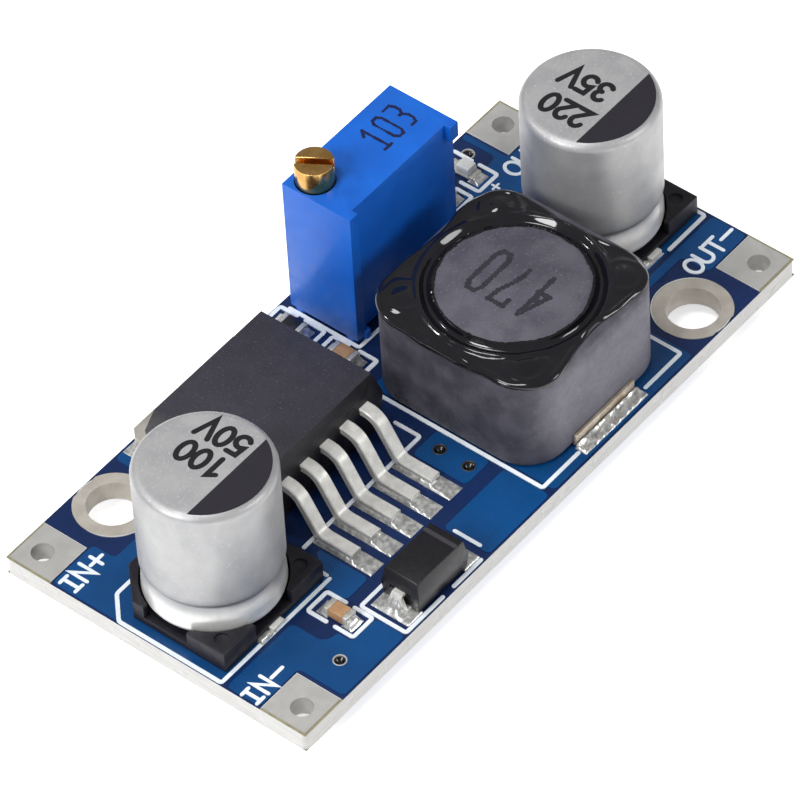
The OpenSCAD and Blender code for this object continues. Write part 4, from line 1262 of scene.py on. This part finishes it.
            under.prism(rounded(outline, 0.35), -self.foil_step, 0.0)
        under.piece("mask_over_lower_foil", MASK_ON_COPPER, holes=self.holes())

    def legend(self) -> None:
        """Prints the part outlines and the names of the four wire pads."""
        low, high = self.top, self.top + self.foil_step + self.ink_step
        draft = MeshDraft()
        outlines: list[list[Point]] = [
            # input capacitor
            [(-12.3, -4.58), (-21.42, -4.58), (-21.42, 2.6), (-20.0, 3.95), (-12.6, 3.95)],
            [(-12.2, -4.3), (-12.2, -2.3)],
            # output capacitor
            [(12.6, -4.45), (15.2, -4.45)],
            [(18.0, -4.45), (21.3, -4.45), (21.3, 2.9), (19.9, 4.4), (14.2, 4.4), (12.7, 3.0)],
            # inductor
            [(2.9, -9.75), (-0.28, -9.75), (-0.28, 3.4), (1.5, 3.4)],
            [(8.9, -9.75), (12.1, -9.75), (12.1, -7.4)],
            # regulator
            [(-11.4, -2.05), (-1.35, -2.05), (-1.35, -0.3)],
            # diode
            [(-10.9, -7.15), (-12.8, -7.15), (-12.8, -10.27), (-9.65, -10.27)],
            [(-8.7, -10.27), (-6.35, -10.27)],
            [(-5.58, -7.85), (-5.58, -9.6)],
            # input ceramic
            [(-14.75, -6.35), (-14.75, -5.05), (-13.08, -5.05), (-13.08, -6.35)],
            [(-14.75, -6.95), (-14.75, -8.2), (-13.08, -8.2), (-13.08, -6.95)],
            # chips beside the trimmer
            [(-0.05, 9.1), (-0.05, 10.3), (1.62, 10.3), (1.62, 9.1)],
            [(-0.05, 8.5), (-0.05, 7.1), (1.62, 7.1), (1.62, 8.5)],
            [(-0.05, 5.4), (-0.05, 6.5), (1.62, 6.5), (1.62, 5.4)],
            [(-0.05, 4.6), (-0.05, 3.35), (1.62, 3.35), (1.62, 4.6)],
            # trimmer
            [(1.82, 9.8), (1.82, 4.8), (3.6, 4.8)],
            # lamp and its resistor
            [(16.85, 8.75), (16.85, 10.1), (15.15, 10.1)],
            [(16.85, 8.2), (16.85, 6.9), (15.15, 6.9), (15.15, 8.2)],
            [(12.95, 8.1), (12.95, 6.95), (14.6, 6.95), (14.6, 8.1)],
        ]
        for path in outlines:
            draft.stroke(eased(path, 0.16), self.line, low, high)
        marks = [
            Print("IN+", (-21.35, 5.75), 1.25, (0.95, 1.0), stretch=1.1),
            Print("IN-", (-21.5, -7.1), 1.2, (0.92, 0.95), stretch=1.05),
            Print("OUT-", (17.3, -6.95), 1.25, (1.02, 0.95, 0.98), stretch=1.1),
            Print("OUT+", (17.3, 5.85), 1.25, (1.02, 0.95, 0.98), stretch=1.1),
        ]
        for mark in marks:
            draft.pen_print(mark, 0.22, low, high)
        plus_x, plus_y, arm = 16.05, 6.4, 0.26
        draft.stroke([(plus_x - arm, plus_y), (plus_x + arm, plus_y)], 0.14, low, high)
        draft.stroke([(plus_x, plus_y - arm), (plus_x, plus_y + arm)], 0.14, low, high)
        draft.piece("board_legend", LEGEND_INK)


@dataclass
class SolderJoint:
    """A pad with reflowed solder, heaped towards what it holds.

    Attributes:
        low: One corner of the pad.
        high: The opposite corner.
        base: Height of the board.
        heap: Height of the solder in the pad's middle.
        hold: Where the solder climbs: its place, reach and height, if it does.
        seed: Picks the pattern of the wrinkles.
        wrinkle: Height of the wrinkles.
    """

    low: Point
    high: Point
    base: float
    heap: float
    hold: tuple[Point, Point, float] | None = None
    seed: float = 0.0
    wrinkle: float = 0.035

    def __post_init__(self) -> None:
        """Puts the pad's two corners in order."""
        (x0, x1), (y0, y1) = (sorted(pair) for pair in zip(self.low, self.high))
        self.low, self.high = (x0, y0), (x1, y1)

    def height(self, x: float, y: float) -> float:
        """Height of the solder at a place."""
        edge = min(x - self.low[0], self.high[0] - x, y - self.low[1], self.high[1] - y)
        dome = self.heap * math.sqrt(max(0.0, 1 - (1 - min(1.0, edge / 0.22)) ** 2))
        folds = 0.5 - 2.0 * abs(wave(x, y, self.seed, 0.62)) + 0.3 * wave(x, y, self.seed + 9, 0.3)
        rough = self.wrinkle * smooth(edge / 0.15) * folds
        top = self.base + 0.02 + dome + rough
        if self.hold:
            (cx, cy), (rx, ry), climb = self.hold
            away = math.hypot(max(0.0, abs(x - cx) - rx), max(0.0, abs(y - cy) - ry))
            top += climb * math.exp(-(away / 0.16)) * smooth(edge / 0.12)
        return top

    def lay(self, draft: MeshDraft) -> None:
        """Adds the joint to a draft."""
        draft.field(self.low, self.high, self.base, self.height, 0.045)


@dataclass
class Regulator:
    """The five-lead regulator: moulded body, tab, leads and solder.

    Attributes:
        lead_w: Width of a lead.
        lead_t: Thickness of a lead.
        shoulder: Length of the straight stretch out of the body.
        run: Length of the slope, along Y.
        upper_cut: How far from the upper bend its rounding starts.
        lower_cut: How far from the lower bend its rounding starts.
        pad_w: Width of a lead's pad.
    """

    body: Extent = measured("regulator_body")
    leads: Extent = measured("regulator_leads")
    solder: Extent = measured("regulator_solder")
    lead_w: float = 0.8
    lead_t: float = 0.5
    shoulder: float = 0.87
    run: float = 1.53
    upper_cut: float = 0.72
    lower_cut: float = 0.5
    pad_w: float = 1.15

    def build(self) -> None:
        """Builds and dresses the regulator."""
        body = soften("regulator_body", "regulator_moulding", EPOXY, 0.07, 2)
        # painted shade: the upright faces take a darker copy of the epoxy
        body.data.materials.append(material_of(EPOXY_SIDE_SHADE))
        for face in body.data.polygons:
            if abs(face.normal.z) < 0.5:
                face.material_index = 1
        soften("regulator_tab", "regulator_heat_tab", TAB_PLATE, 0.05, 2)
        self.formed_leads()
        self.joints()

    def lead_places(self) -> list[float]:
        """Places of the leads along X."""
        return [part.middle.x for part in loose_parts("regulator_leads")]

    def formed_leads(self) -> None:
        """Bends the leads: straight out, a long S downwards, and a flat foot."""
        high = self.leads.high.z - self.lead_t / 2
        low = self.leads.low.z + self.lead_t / 2
        root, tip = self.leads.high.y - 0.01, self.leads.low.y
        bend = self.body.low.y - self.shoulder
        heel = bend - self.run
        turns = [Vector(p) for p in ((root, high), (bend, high), (heel, low), (tip, low))]
        path = [(root, high), *corner(*turns[:3], self.upper_cut, 8)]
        path += [*corner(*turns[1:], self.lower_cut, 8), (tip, low)]
        draft = MeshDraft()
        for x in self.lead_places():
            draft.ribbon(x, path, self.lead_w, self.lead_t, 0.06)
        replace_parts(draft.piece("regulator_formed_leads", LEAD_TIN), "regulator_leads")

    def joints(self) -> None:
        """Lays solder on the five lead pads and under the tab."""
        base = self.solder.low.z
        front = self.solder.low.y
        tip = self.leads.low.y
        draft = MeshDraft()
        for k, x in enumerate(self.lead_places()):
            low = (x - self.pad_w / 2, front)
            high = (x + self.pad_w / 2, tip + 2.6)
            hold = ((x, tip + 1.2), (self.lead_w / 2, 1.2), 0.16)
            SolderJoint(low, high, base, 0.05, hold, seed=k * 3.1, wrinkle=0.05).lay(draft)
        tab = Extent.of("regulator_tab")
        pad = ((self.solder.low.x, tab.middle.y), (self.solder.high.x, self.solder.high.y))
        SolderJoint(*pad, base, 0.04, seed=20.0, wrinkle=0.02).lay(draft)
        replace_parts(draft.piece("regulator_joints", SOLDER), "regulator_solder")


@dataclass
class Inductor:
    """The shielded inductor: shield, drum, winding, adhesive, terminals and solder."""

    shield: Extent = measured("inductor_shield")
    drum: Extent = measured("inductor_drum")
    terminal: Extent = measured("inductor_terminals")
    pads: Extent = measured("inductor_solder")
    corner_r: float = 2.5
    edge_round: float = 0.22
    gap_r: float = 5.15
    # how far the adhesive reaches past the flat top, in eight directions from +X round by +Y
    spill: tuple[float, ...] = (-0.2, 0.05, 0.15, 0.42, 0.6, 0.38, -0.22, 0.1)

    def build(self) -> None:
        """Builds and dresses the inductor."""
        soften("inductor_shield", "inductor_shield_ring", FERRITE, self.edge_round, 4)
        soften("inductor_drum", "inductor_drum_core", FERRITE_FACE, 0.08, 2)
        dress_node("inductor_winding", WIRE)
        soften("inductor_terminals", "inductor_terminal_strips", TERMINAL_TIN, 0.04, 2)
        self.adhesive()
        self.joints()
        self.marking()

    def side(self, angle: float) -> tuple[float, Vector]:
        """Finds the edge of the shield's flat top in one direction.

        Args:
            angle: Direction from the middle, in radians.

        Returns:
            The distance to the edge and the direction that the edge faces.
        """
        way = Vector((math.cos(angle), math.sin(angle)))
        half = self.shield.size.x / 2 - self.edge_round
        radius = self.corner_r - self.edge_round
        c, q = abs(way.x), abs(way.y)
        reach = half / max(c, q)
        if min(c, q) * reach <= half - radius:
            faces_x, faces_y = math.copysign(1, way.x), math.copysign(1, way.y)
            return reach, Vector((faces_x, 0) if c >= q else (0, faces_y))
        hub = Vector((math.copysign(half - radius, way.x), math.copysign(half - radius, way.y)))
        along, off = hub.dot(way), hub.x * way.y - hub.y * way.x
        reach = along + math.sqrt(radius**2 - off**2)
        return reach, (way * reach - hub).normalized()

    def overrun(self, angle: float) -> float:
        """How far the adhesive reaches past the flat top, or stays short of it."""
        step = (angle / math.tau * len(self.spill)) % len(self.spill)
        k = int(step)
        a, b = self.spill[k], self.spill[(k + 1) % len(self.spill)]
        c, q = math.cos(angle), math.sin(angle)
        return a + (b - a) * smooth(step - k) + 0.2 * wave(c * 3, q * 3, 3.0, 0.9)

    def skin(self, angle: float, run: float) -> tuple[Vector, Vector]:
        """Follows the shield's top, its rounded edge and its side.

        Args:
            angle: Direction from the middle, in radians.
            run: Distance from the middle along the surface.

        Returns:
            The point, with its height above the flat top, and the surface's normal.
        """
        reach, faces = self.side(angle)
        way = Vector((math.cos(angle), math.sin(angle)))
        past = run - reach
        if past <= 0:
            return Vector((way.x * run, way.y * run, 0)), Vector((0, 0, 1))
        e = self.edge_round
        turn = min(past / e, math.pi / 2)
        down = max(0.0, past - e * math.pi / 2)
        out = e * math.sin(turn)
        point = Vector((way.x * reach + faces.x * out, way.y * reach + faces.y * out,
                        -e * (1 - math.cos(turn)) - down))
        normal = Vector((faces.x * math.sin(turn), faces.y * math.sin(turn), math.cos(turn)))
        return point, normal

    def depth(self, x: float, y: float, run: float, end: float) -> float:
        """Thickness of the adhesive over the shield at one point."""
        drum_r = self.drum.size.x / 2
        proud = self.drum.high.z - self.shield.high.z
        if run <= drum_r + 0.02:
            return proud + 0.035
        climb = (proud + 0.08) * hump(run, drum_r, 0.13)
        groove = -0.16 * hump(run, 4.84, 0.2)
        ridge = 0.17 * hump(run, 5.3, 0.19)
        pool = 0.0
        for px in (-1, 1):
            for py in (-1, 1):
                shift = 0.25 * wave(px * 3.0, py * 5.0, 2.0, 1.3)
                away = math.hypot(x - px * (4.22 + shift), y - py * (4.28 - shift))
                dome = 0.26 * smooth(1 - away / 1.3) + 0.1 * hump(away, 1.1, 0.2)
                pool = max(pool, dome * smooth((run - 5.35) / 0.45))
        uneven = 0.07 * wave(x, y, 7.0, 1.3) + 0.01 * wave(x, y, 8.0, 0.6)
        short = end - run
        bead = 0.07 * hump(short, 0.22, 0.16)
        rounding = math.sqrt(max(0.0, 1 - (1 - min(1.0, short / 0.16)) ** 2))
        film = 0.095 + uneven * smooth((run - 4.7) / 0.5)
        return climb + groove + (film + ridge + pool + bead) * rounding

    def adhesive(self) -> None:
        """Pours the adhesive over the gap, the top and, on the input side, over the edge."""
        centre = Vector((self.shield.middle.x, self.shield.middle.y, self.shield.high.z))
        turns, rings = 360, 66
        upper: list[Point3] = []
        lower: list[Point3] = []
        for k in range(turns):
            angle = math.tau * k / turns
            c, q = math.cos(angle), math.sin(angle)
            start = self.drum.size.x / 2 - 0.12 + 0.09 * wave(c * 4, q * 4, 5.0, 0.8)
            start += 0.05 * wave(c * 4, q * 4, 6.0, 0.22)
            end = self.side(angle)[0] + self.overrun(angle)
            for r in range(rings + 1):
                share = r / rings
                run = start + (end - start) * (1 - (1 - share) ** 1.25)
                point, normal = self.skin(angle, run)
                depth = self.depth(point.x, point.y, run, end)
                sunk = -0.02
                if run < self.gap_r + 0.1:
                    sunk = -0.34
                if run <= self.drum.size.x / 2 + 0.02:
                    sunk = depth - 0.05
                upper.append(tuple(centre + point + normal * depth))
                lower.append(tuple(centre + point + normal * sunk))
        w = rings + 1
        under = turns * w
        faces = []
        for k in range(turns):
            a, b = k * w, ((k + 1) % turns) * w
            for r in range(rings):
                faces.append((a + r, a + r + 1, b + r + 1, b + r))
                faces.append((under + a + r, under + b + r, under + b + r + 1, under + a + r + 1))
            faces.append((a, b, under + b, under + a))
            faces.append((a + rings, under + a + rings, under + b + rings, b + rings))
        obj = add_piece("inductor_poured_adhesive", [*upper, *lower], faces, ADHESIVE)
        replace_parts(obj, "inductor_adhesive")

    def joints(self) -> None:
        """Lays the wrinkled solder in front of both terminals."""
        draft = MeshDraft()
        base = self.pads.low.z
        x0, x1 = self.pads.low.x, self.pads.high.x
        for near, far in (
            (self.terminal.low.y, self.pads.low.y), (self.terminal.high.y, self.pads.high.y)
        ):
            hold = (((x0 + x1) / 2, near), ((x1 - x0) / 2 - 0.25, 0.0), 0.5)
            joint = SolderJoint((x0, near), (x1, far), base, 0.1, hold, seed=far, wrinkle=0.1)
            joint.lay(draft)
        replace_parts(draft.piece("inductor_joints", SOLDER), "inductor_solder")

    def marking(self) -> None:
        """Prints the value on the drum's face as a jet printer does."""
        cx, cy = self.drum.middle.x, self.drum.middle.y
        top = self.drum.high.z
        draft = MeshDraft()
        mark = Print("470", (cx + 1.85, cy - 2.4), 3.7, (1.75,), Reading.ALONG_Y, 0.5)
        draft.jet_print(mark, 0.26, 0.41, top - 0.005, top + 0.008)
        draft.piece("inductor_value_print", FERRITE_INK)


@dataclass
class CanCapacitor:
    """One aluminium can capacitor on its black base.

    Attributes:
        side: "input" or "output", as in the names of its CAD nodes.
        lines: The printed lines, each with its shift from the can's middle along X and Y.
        edge_r: Radius of the shoulder.
        waist_h: Height of the waist above the foot's underside.
        waist_d: Depth of the waist.
        foot_r: Radius of the rolled foot.
        band_y: Edge of the polarity band, from the can's middle.
    """

    side: str
    lines: tuple[tuple[str, float, float], ...]
    edge_r: float = 0.55
    waist_h: float = 1.95
    waist_d: float = 0.3
    foot_r: float = 0.4
    band_y: float = -1.56

    def build(self) -> None:
        """Builds and dresses the capacitor."""
        self.can = Extent.of(f"{self.side}_capacitor_can")
        soften(f"{self.side}_capacitor_base", f"{self.side}_can_base", BASE_PLASTIC, 0.07, 2)
        soften(f"{self.side}_capacitor_leads", f"{self.side}_can_leads", LEAD_TIN, 0.04, 2)
        self.shell()
        self.end_print()
        self.joints()

    def shell(self) -> None:
        """Turns the can: rolled foot, waist, plain wall and round shoulder."""
        wall = self.can.size.x / 2
        low, high = self.can.low.z, self.can.high.z
        waist = low + self.waist_h
        foot = self.foot_r
        profile: list[Point] = [(0.0, low), (wall - foot - 0.25, low)]
        profile += arc((wall - foot - 0.02, low + foot), foot, foot, -80, 20, 9)
        profile += [(wall - 0.05, waist - 1.0), (wall - 0.1, waist - 0.7),
                    (wall - 0.19, waist - 0.4), (wall - 0.27, waist - 0.17),
                    (wall - self.waist_d, waist - 0.03)]
        for k in range(9):
            t = k / 8
            profile.append((wall - self.waist_d * (1 - smooth(t)), waist + 0.06 + 0.5 * t))
        shoulder = (wall - self.edge_r, high - self.edge_r)
        profile += arc(shoulder, self.edge_r, self.edge_r, 0, 85, 9)
        rim = wall - self.edge_r - 0.02
        profile += [(rim, high), (rim - 0.6, high), (0.0, high)]
        draft = MeshDraft()
        draft.lathe((self.can.middle.x, self.can.middle.y), profile, 128)
        obj = draft.piece(f"{self.side}_can_shell", CAN_ALUMINIUM)
        # the second and third finish of the can: its end, and its foot with a painted highlight
        for finish in (CAN_TOP, CAN_FOOT_HIGHLIGHT):
            obj.data.materials.append(material_of(finish))
        for face in obj.data.polygons:
            if face.center.z > (high - 0.06) * MM:
                face.material_index = 1
            elif face.center.z < (waist - 0.1) * MM:
                face.material_index = 2
        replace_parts(obj, f"{self.side}_capacitor_can")

    def end_print(self) -> None:
        """Prints the polarity band and the values on the can's end."""
        cx, cy = self.can.middle.x, self.can.middle.y
        radius = self.can.size.x / 2 - 0.36
        high = self.can.high.z
        cut = math.degrees(math.asin(self.band_y / radius))
        band = [(cx + x, cy + y) for x, y in arc((0, 0), radius, radius, 180 - cut, 360 + cut, 48)]
        draft = MeshDraft()
        draft.prism(band, high - 0.01, high + 0.004)
        draft.piece(f"{self.side}_can_band", CAN_BAND_INK)
        text = MeshDraft()
        for line, along, across in self.lines:
            start = (cx + along + 0.78, cy + across - 0.84)
            mark = Print(line, start, 1.56, (1.04,), Reading.ALONG_Y, 1.0)
            text.pen_print(mark, 0.32, high - 0.01, high + 0.006)
        text.piece(f"{self.side}_can_values", CAN_INK)

    def joints(self) -> None:
        """Lays solder on the pads beside both leads."""
        solder = Extent.of(f"{self.side}_capacitor_solder")
        leads = Extent.of(f"{self.side}_capacitor_leads")
        draft = MeshDraft()
        for near, far in ((leads.low.y + 0.6, solder.low.y), (leads.high.y - 0.6, solder.high.y)):
            pad = ((solder.low.x, near), (solder.high.x, far))
            hold = ((solder.low.x + 0.5, (near + far) / 2), (0.3, 0.3), 0.2)
            SolderJoint(*pad, solder.low.z, 0.06, hold, seed=far).lay(draft)
        obj = draft.piece(f"{self.side}_can_joints", SOLDER)
        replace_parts(obj, f"{self.side}_capacitor_solder")


@dataclass
class Diode:
    """The power diode: moulded body, two folded leads and their solder."""

    body: Extent = measured("diode_body")
    leads: Extent = measured("diode_leads")
    solder: Extent = measured("diode_solder")

    def build(self) -> None:
        """Builds and dresses the diode."""
        soften("diode_body", "diode_moulding", DIODE_EPOXY, 0.06, 2)
        self.folded_leads()
        draft = MeshDraft()
        y0, y1 = self.solder.low.y, self.solder.high.y
        for near, far, climb in (
            (self.leads.low.x, self.solder.low.x, 0.75),
            (self.leads.high.x, self.solder.high.x, 0.45),
        ):
            inside = near + (0.7 if far < near else -0.7)
            hold = ((near, (y0 + y1) / 2), (0.04, 0.2), climb)
            pad = ((far, y0), (inside, y1))
            SolderJoint(*pad, self.solder.low.z, 0.09, hold, seed=far).lay(draft)
        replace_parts(draft.piece("diode_joints", SOLDER), "diode_solder")
        self.band()

    def folded_leads(self) -> None:
        """Folds the two leads: out of the body's ends, down, and back in underneath.

        Each narrows towards the body, and spreads to its full width at the board.
        """
        top, base = self.leads.high.z, self.leads.low.z
        full = self.leads.size.y / 2
        y = self.leads.middle.y
        thick, neck = 0.2, 0.34
        draft = MeshDraft()
        for sign, tip, face in (
            (-1, self.leads.low.x, self.body.low.x), (1, self.leads.high.x, self.body.high.x)
        ):
            x_in = face - sign * 0.3
            route = [(x_in, top - thick / 2, neck), (tip - sign * 0.16, top - thick / 2, neck),
                     (tip - sign * thick / 2, top - 0.24, neck + 0.04),
                     (tip - sign * thick / 2, base + 0.3, full - 0.1),
                     (tip - sign * 0.2, base + thick / 2, full),
                     (x_in - sign * 0.4, base + thick / 2, full)]
            points: list[Point3] = []
            for k, (x, z, half) in enumerate(route):
                before, after = route[max(0, k - 1)], route[min(len(route) - 1, k + 1)]
                along = Vector((after[0] - before[0], after[1] - before[1])).normalized()
                out = Vector((-along.y, along.x)) * thick / 2
                points += [(x + u * out.x, y + v * half, z + u * out.y)
                           for u, v in ((-1, -1), (-1, 1), (1, 1), (1, -1))]
            last = 4 * (len(route) - 1)
            faces = [(0, 1, 2, 3), tuple(last + i for i in range(4))]
            faces += [(4 * k + i, 4 * k + (i + 1) % 4, 4 * k + 4 + (i + 1) % 4, 4 * k + 4 + i)
                      for k in range(len(route) - 1) for i in range(4)]
            draft.shell(points, faces)
        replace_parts(draft.piece("diode_folded_leads", LEAD_TIN), "diode_leads")

    def band(self) -> None:
        """Prints the faint cathode band across the body's top."""
        draft = MeshDraft()
        top = self.body.high.z
        x = self.body.high.x - 0.75
        half = self.body.size.y / 2 - 0.32
        y = self.body.middle.y
        draft.stroke([(x, y - half), (x, y + half)], 0.28, top - 0.004, top + 0.004)
        draft.piece("diode_cathode_band", BAND_INK)


@dataclass
class Trimmer:
    """The multi-turn trimmer: case, screw and the parts inside."""

    case: Extent = measured("trimmer_case")

    def build(self) -> None:
        """Builds and dresses the trimmer."""
        soften("trimmer_case", "trimmer_moulded_case", BLUE_CASE, 0.09, 3)
        soften("trimmer_screw", "trimmer_turned_screw", BRASS, 0.06, 2, SCREW)
        for part, finish in (
            ("potting", EPOXY), ("seal", SEAL_RUBBER), ("carriage", CARRIAGE_PLASTIC),
            ("wiper", BRASS), ("element", ALUMINA), ("pins", LEAD_TIN), ("solder", SOLDER),
        ):
            dress_node(f"trimmer_{part}", finish)
        self.value()
        self.feet()

    def feet(self) -> None:
        """Adds the small round feet that are moulded to the case's lower edge."""
        draft = MeshDraft()
        low = Extent.of("circuit_board").high.z
        r, tall = 0.3, 0.62
        profile = [(0.0, low), (r - 0.04, low), (r, low + 0.05), (r, low + tall - 0.15)]
        profile += [(r - 0.05, low + tall - 0.05), (r - 0.15, low + tall), (0.0, low + tall)]
        for x in (self.case.low.x + 0.8, self.case.high.x - 0.9):
            for y in (self.case.low.y + 0.1, self.case.high.y - 0.1):
                draft.lathe((x, y), profile, 32)
        draft.piece("trimmer_moulded_feet", BLUE_CASE)

    def value(self) -> None:
        """Prints the resistance code on the case's top."""
        draft = MeshDraft()
        top = self.case.high.z
        start = (self.case.low.x + 5.3, self.case.low.y + 1.75)
        mark = Print("103", start, 2.2, (1.1,), stretch=0.62)
        draft.jet_print(mark, 0.17, 0.25, top - 0.006, top + 0.006)
        draft.piece("trimmer_value_print", CASE_INK)


@dataclass
class ChipRow:
    """The small chip parts, the lamp and the solder at their ends.

    Attributes:
        chips: Names of the chips, as in the names of their CAD nodes.
        cap_l: Length of a chip's plated end.
        pad_out: How far a pad reaches past its chip.
        pad_half: Half the width of a pad.
        climb: Share of a chip's height that its solder climbs.
        edge: Width of the rounding on a chip's edges.
    """

    chips: tuple[str, ...] = (
        "input_ceramic", "compensation_ceramic", "feedback_resistor", "lamp_resistor",
    )
    cap_l: float = 0.32
    pad_out: float = 0.45
    pad_half: float = 0.52
    climb: float = 0.55
    edge: float = 0.045

    def build(self) -> None:
        """Builds and dresses the chips."""
        for chip in self.chips:
            finish = BROWN_CERAMIC if chip.endswith("ceramic") else CHIP_GLASS
            soften(f"{chip}_body", f"{chip}_middle", finish, self.edge)
        soften("lamp_carrier", "lamp_carrier_plate", LAMP_BOARD, self.edge)
        soften("lamp_lens", "lamp_clear_top", LAMP_RESIN, self.edge)
        for chip in self.chips:
            soften(f"{chip}_ends", f"{chip}_caps", CHIP_TIN, self.edge)
        soften("lamp_ends", "lamp_end_caps", CHIP_TIN, self.edge)
        draft = MeshDraft()
        base = Extent.of("circuit_board").high.z
        for k, name in enumerate((*self.chips, "lamp")):
            ends = Extent.of(f"{name}_ends")
            climb = (ends.high.z - base) * self.climb
            for sign in (-1, 1):
                near = ends.middle.y + sign * (ends.size.y / 2 - self.cap_l)
                tip = ends.middle.y + sign * (ends.size.y / 2 + self.pad_out)
                face = ends.middle.y + sign * ends.size.y / 2
                pad = ((ends.middle.x - self.pad_half, near), (ends.middle.x + self.pad_half, tip))
                hold = ((ends.middle.x, face), (ends.size.x / 2 - 0.1, 0.05), climb)
                SolderJoint(*pad, base, 0.06, hold, seed=k * 5.0 + sign).lay(draft)
        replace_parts(draft.piece("chip_joints", SOLDER), "chip_solder")


# ---- studio ----


@dataclass
class Studio:
    """Camera, floor, lamps and surroundings.

    Attributes:
        azimuth: Direction that the camera looks along, in degrees from +Y.
        elevation: Angle that it looks down by.
        roll: Turn of the camera about its own axis.
        distance: Distance from the camera to its target.
        target: The point that it looks at, in millimetres.
        lens: Focal length for the sensor's width.
        sensor: Width of the sensor.
        floor_half: Half the width of the floor, in metres.
        floor_glow: Strength of the floor's own light.
        room_light: Strength of the light from all round.
    """

    azimuth: float = -48.599
    elevation: float = 47.676
    roll: float = -3.505
    distance: float = 392.24
    target: Point3 = (0.136, 0.556, 1.2)
    lens: float = 320.54
    sensor: float = 36.0
    floor_half: float = 3.0
    floor_glow: float = 0.6
    room_light: float = 0.34

    def build(self) -> None:
        """Sets up the whole studio."""
        self.camera()
        self.floor()
        self.lamps()
        self.surroundings()
        bpy.context.scene.view_settings.view_transform = "Standard"

    def camera(self) -> None:
        """Places the camera."""
        a, e, r = (math.radians(v) for v in (self.azimuth, self.elevation, self.roll))
        back = Vector((math.sin(a) * math.cos(e), -math.cos(a) * math.cos(e), math.sin(e)))
        right = Vector((math.cos(a), math.sin(a), 0.0))
        up = back.cross(right)
        turned_right = right * math.cos(r) + up * math.sin(r)
        turned_up = up * math.cos(r) - right * math.sin(r)
        place = Vector(self.target) + back * self.distance
        data = bpy.data.cameras.new("studio_camera")
        data.sensor_width = self.sensor
        data.lens = self.lens
        data.clip_start = 0.01
        data.clip_end = 20.0
        camera = bpy.data.objects.new("studio_camera", data)
        turn = Matrix((turned_right, turned_up, back)).transposed().to_4x4()
        camera.matrix_world = Matrix.Translation(place * MM) @ turn
        bpy.context.scene.collection.objects.link(camera)
        bpy.context.scene.camera = camera

    def floor(self) -> None:
        """Lays a plain, pale floor under the module."""
        half = self.floor_half
        low = CAD_BOUNDS[0][2] - 0.00002
        mesh = bpy.data.meshes.new("studio_floor")
        mesh.from_pydata(
            [(-half, -half, low), (half, -half, low), (half, half, low), (-half, half, low)],
            [], [(0, 1, 2, 3)],
        )
        floor = bpy.data.objects.new("studio_floor", mesh)
        bpy.context.scene.collection.objects.link(floor)
        mesh.materials.append(self.floor_material())

    def floor_material(self) -> bpy.types.Material:
        """White paper that the camera sees as nearly white, with its shadow kept."""
        material = bpy.data.materials.new("White studio paper")
        material.use_nodes = True
        material.node_tree.nodes.clear()
        sheet = NodeSheet(material)
        white = linear("#ffffff")
        paper = sheet.add("ShaderNodeBsdfDiffuse", {"Color": white})
        glow = sheet.add("ShaderNodeEmission", {"Color": white, "Strength": self.floor_glow})
        both = sheet.add("ShaderNodeAddShader", {0: paper.outputs[0], 1: glow.outputs[0]})
        rays = sheet.add("ShaderNodeLightPath")
        camera, glossy, through = (
            rays.outputs[f"Is {kind} Ray"] for kind in ("Camera", "Glossy", "Transmission")
        )
        seen = sheet.math("MAXIMUM", sheet.math("MAXIMUM", camera, glossy), through)
        mix = sheet.add("ShaderNodeMixShader", {0: seen, 1: paper.outputs[0], 2: both.outputs[0]})
        sheet.add("ShaderNodeOutputMaterial", {"Surface": mix.outputs[0]})
        return material

    def lamps(self) -> None:
        """Hangs three soft boxes, at the input end, beside and overhead, and a lamp behind."""
        for name, place, size, power in (
            ("soft_box_left", (-0.36, 0.04, 0.3), (0.15, 0.15), 1.25),
            ("soft_box_right", (0.14, -0.36, 0.22), (0.14, 0.12), 0.52),
            ("soft_box_over", (-0.12, 0.08, 0.5), (0.18, 0.12), 0.9),
            ("small_lamp_behind", (-0.16, 0.3, 0.28), (0.04, 0.04), 0.26),
        ):
            data = bpy.data.lights.new(name, "AREA")
            data.shape = "RECTANGLE"
            data.size, data.size_y = size
            data.energy = power
            lamp = bpy.data.objects.new(name, data)
            lamp.location = place
            lamp.rotation_euler = (-Vector(place)).to_track_quat("-Z", "Y").to_euler()
            bpy.context.scene.collection.objects.link(lamp)

    def surroundings(self) -> None:
        """Fills the room with soft white light."""
        world = bpy.data.worlds.new("Studio room")
        bpy.context.scene.world = world
        world.use_nodes = True
        light = world.node_tree.nodes["Background"].inputs
        light["Color"].default_value = linear("#ffffff")
        light["Strength"].default_value = self.room_light


def main() -> None:
    """Builds every sub-assembly in turn, then the studio, and logs each one as it is built."""
    logging.basicConfig(level=logging.INFO, format="%(name)s: %(message)s")
    parts = (
        CircuitBoard(),
        Regulator(),
        Inductor(),
        CanCapacitor("input", (("100", 0.12, -0.34), ("50V", 2.1, -0.34))),
        CanCapacitor("output", (("220", -1.72, -0.22), ("35V", 0.6, 0.0))),
        Diode(),
        Trimmer(),
        ChipRow(),
        Studio(),
    )
    for part in parts:
        part.build()
        LOG.info("built %s", type(part).__name__)
    bpy.context.view_layer.update()


if __name__ == "__main__":
    main()
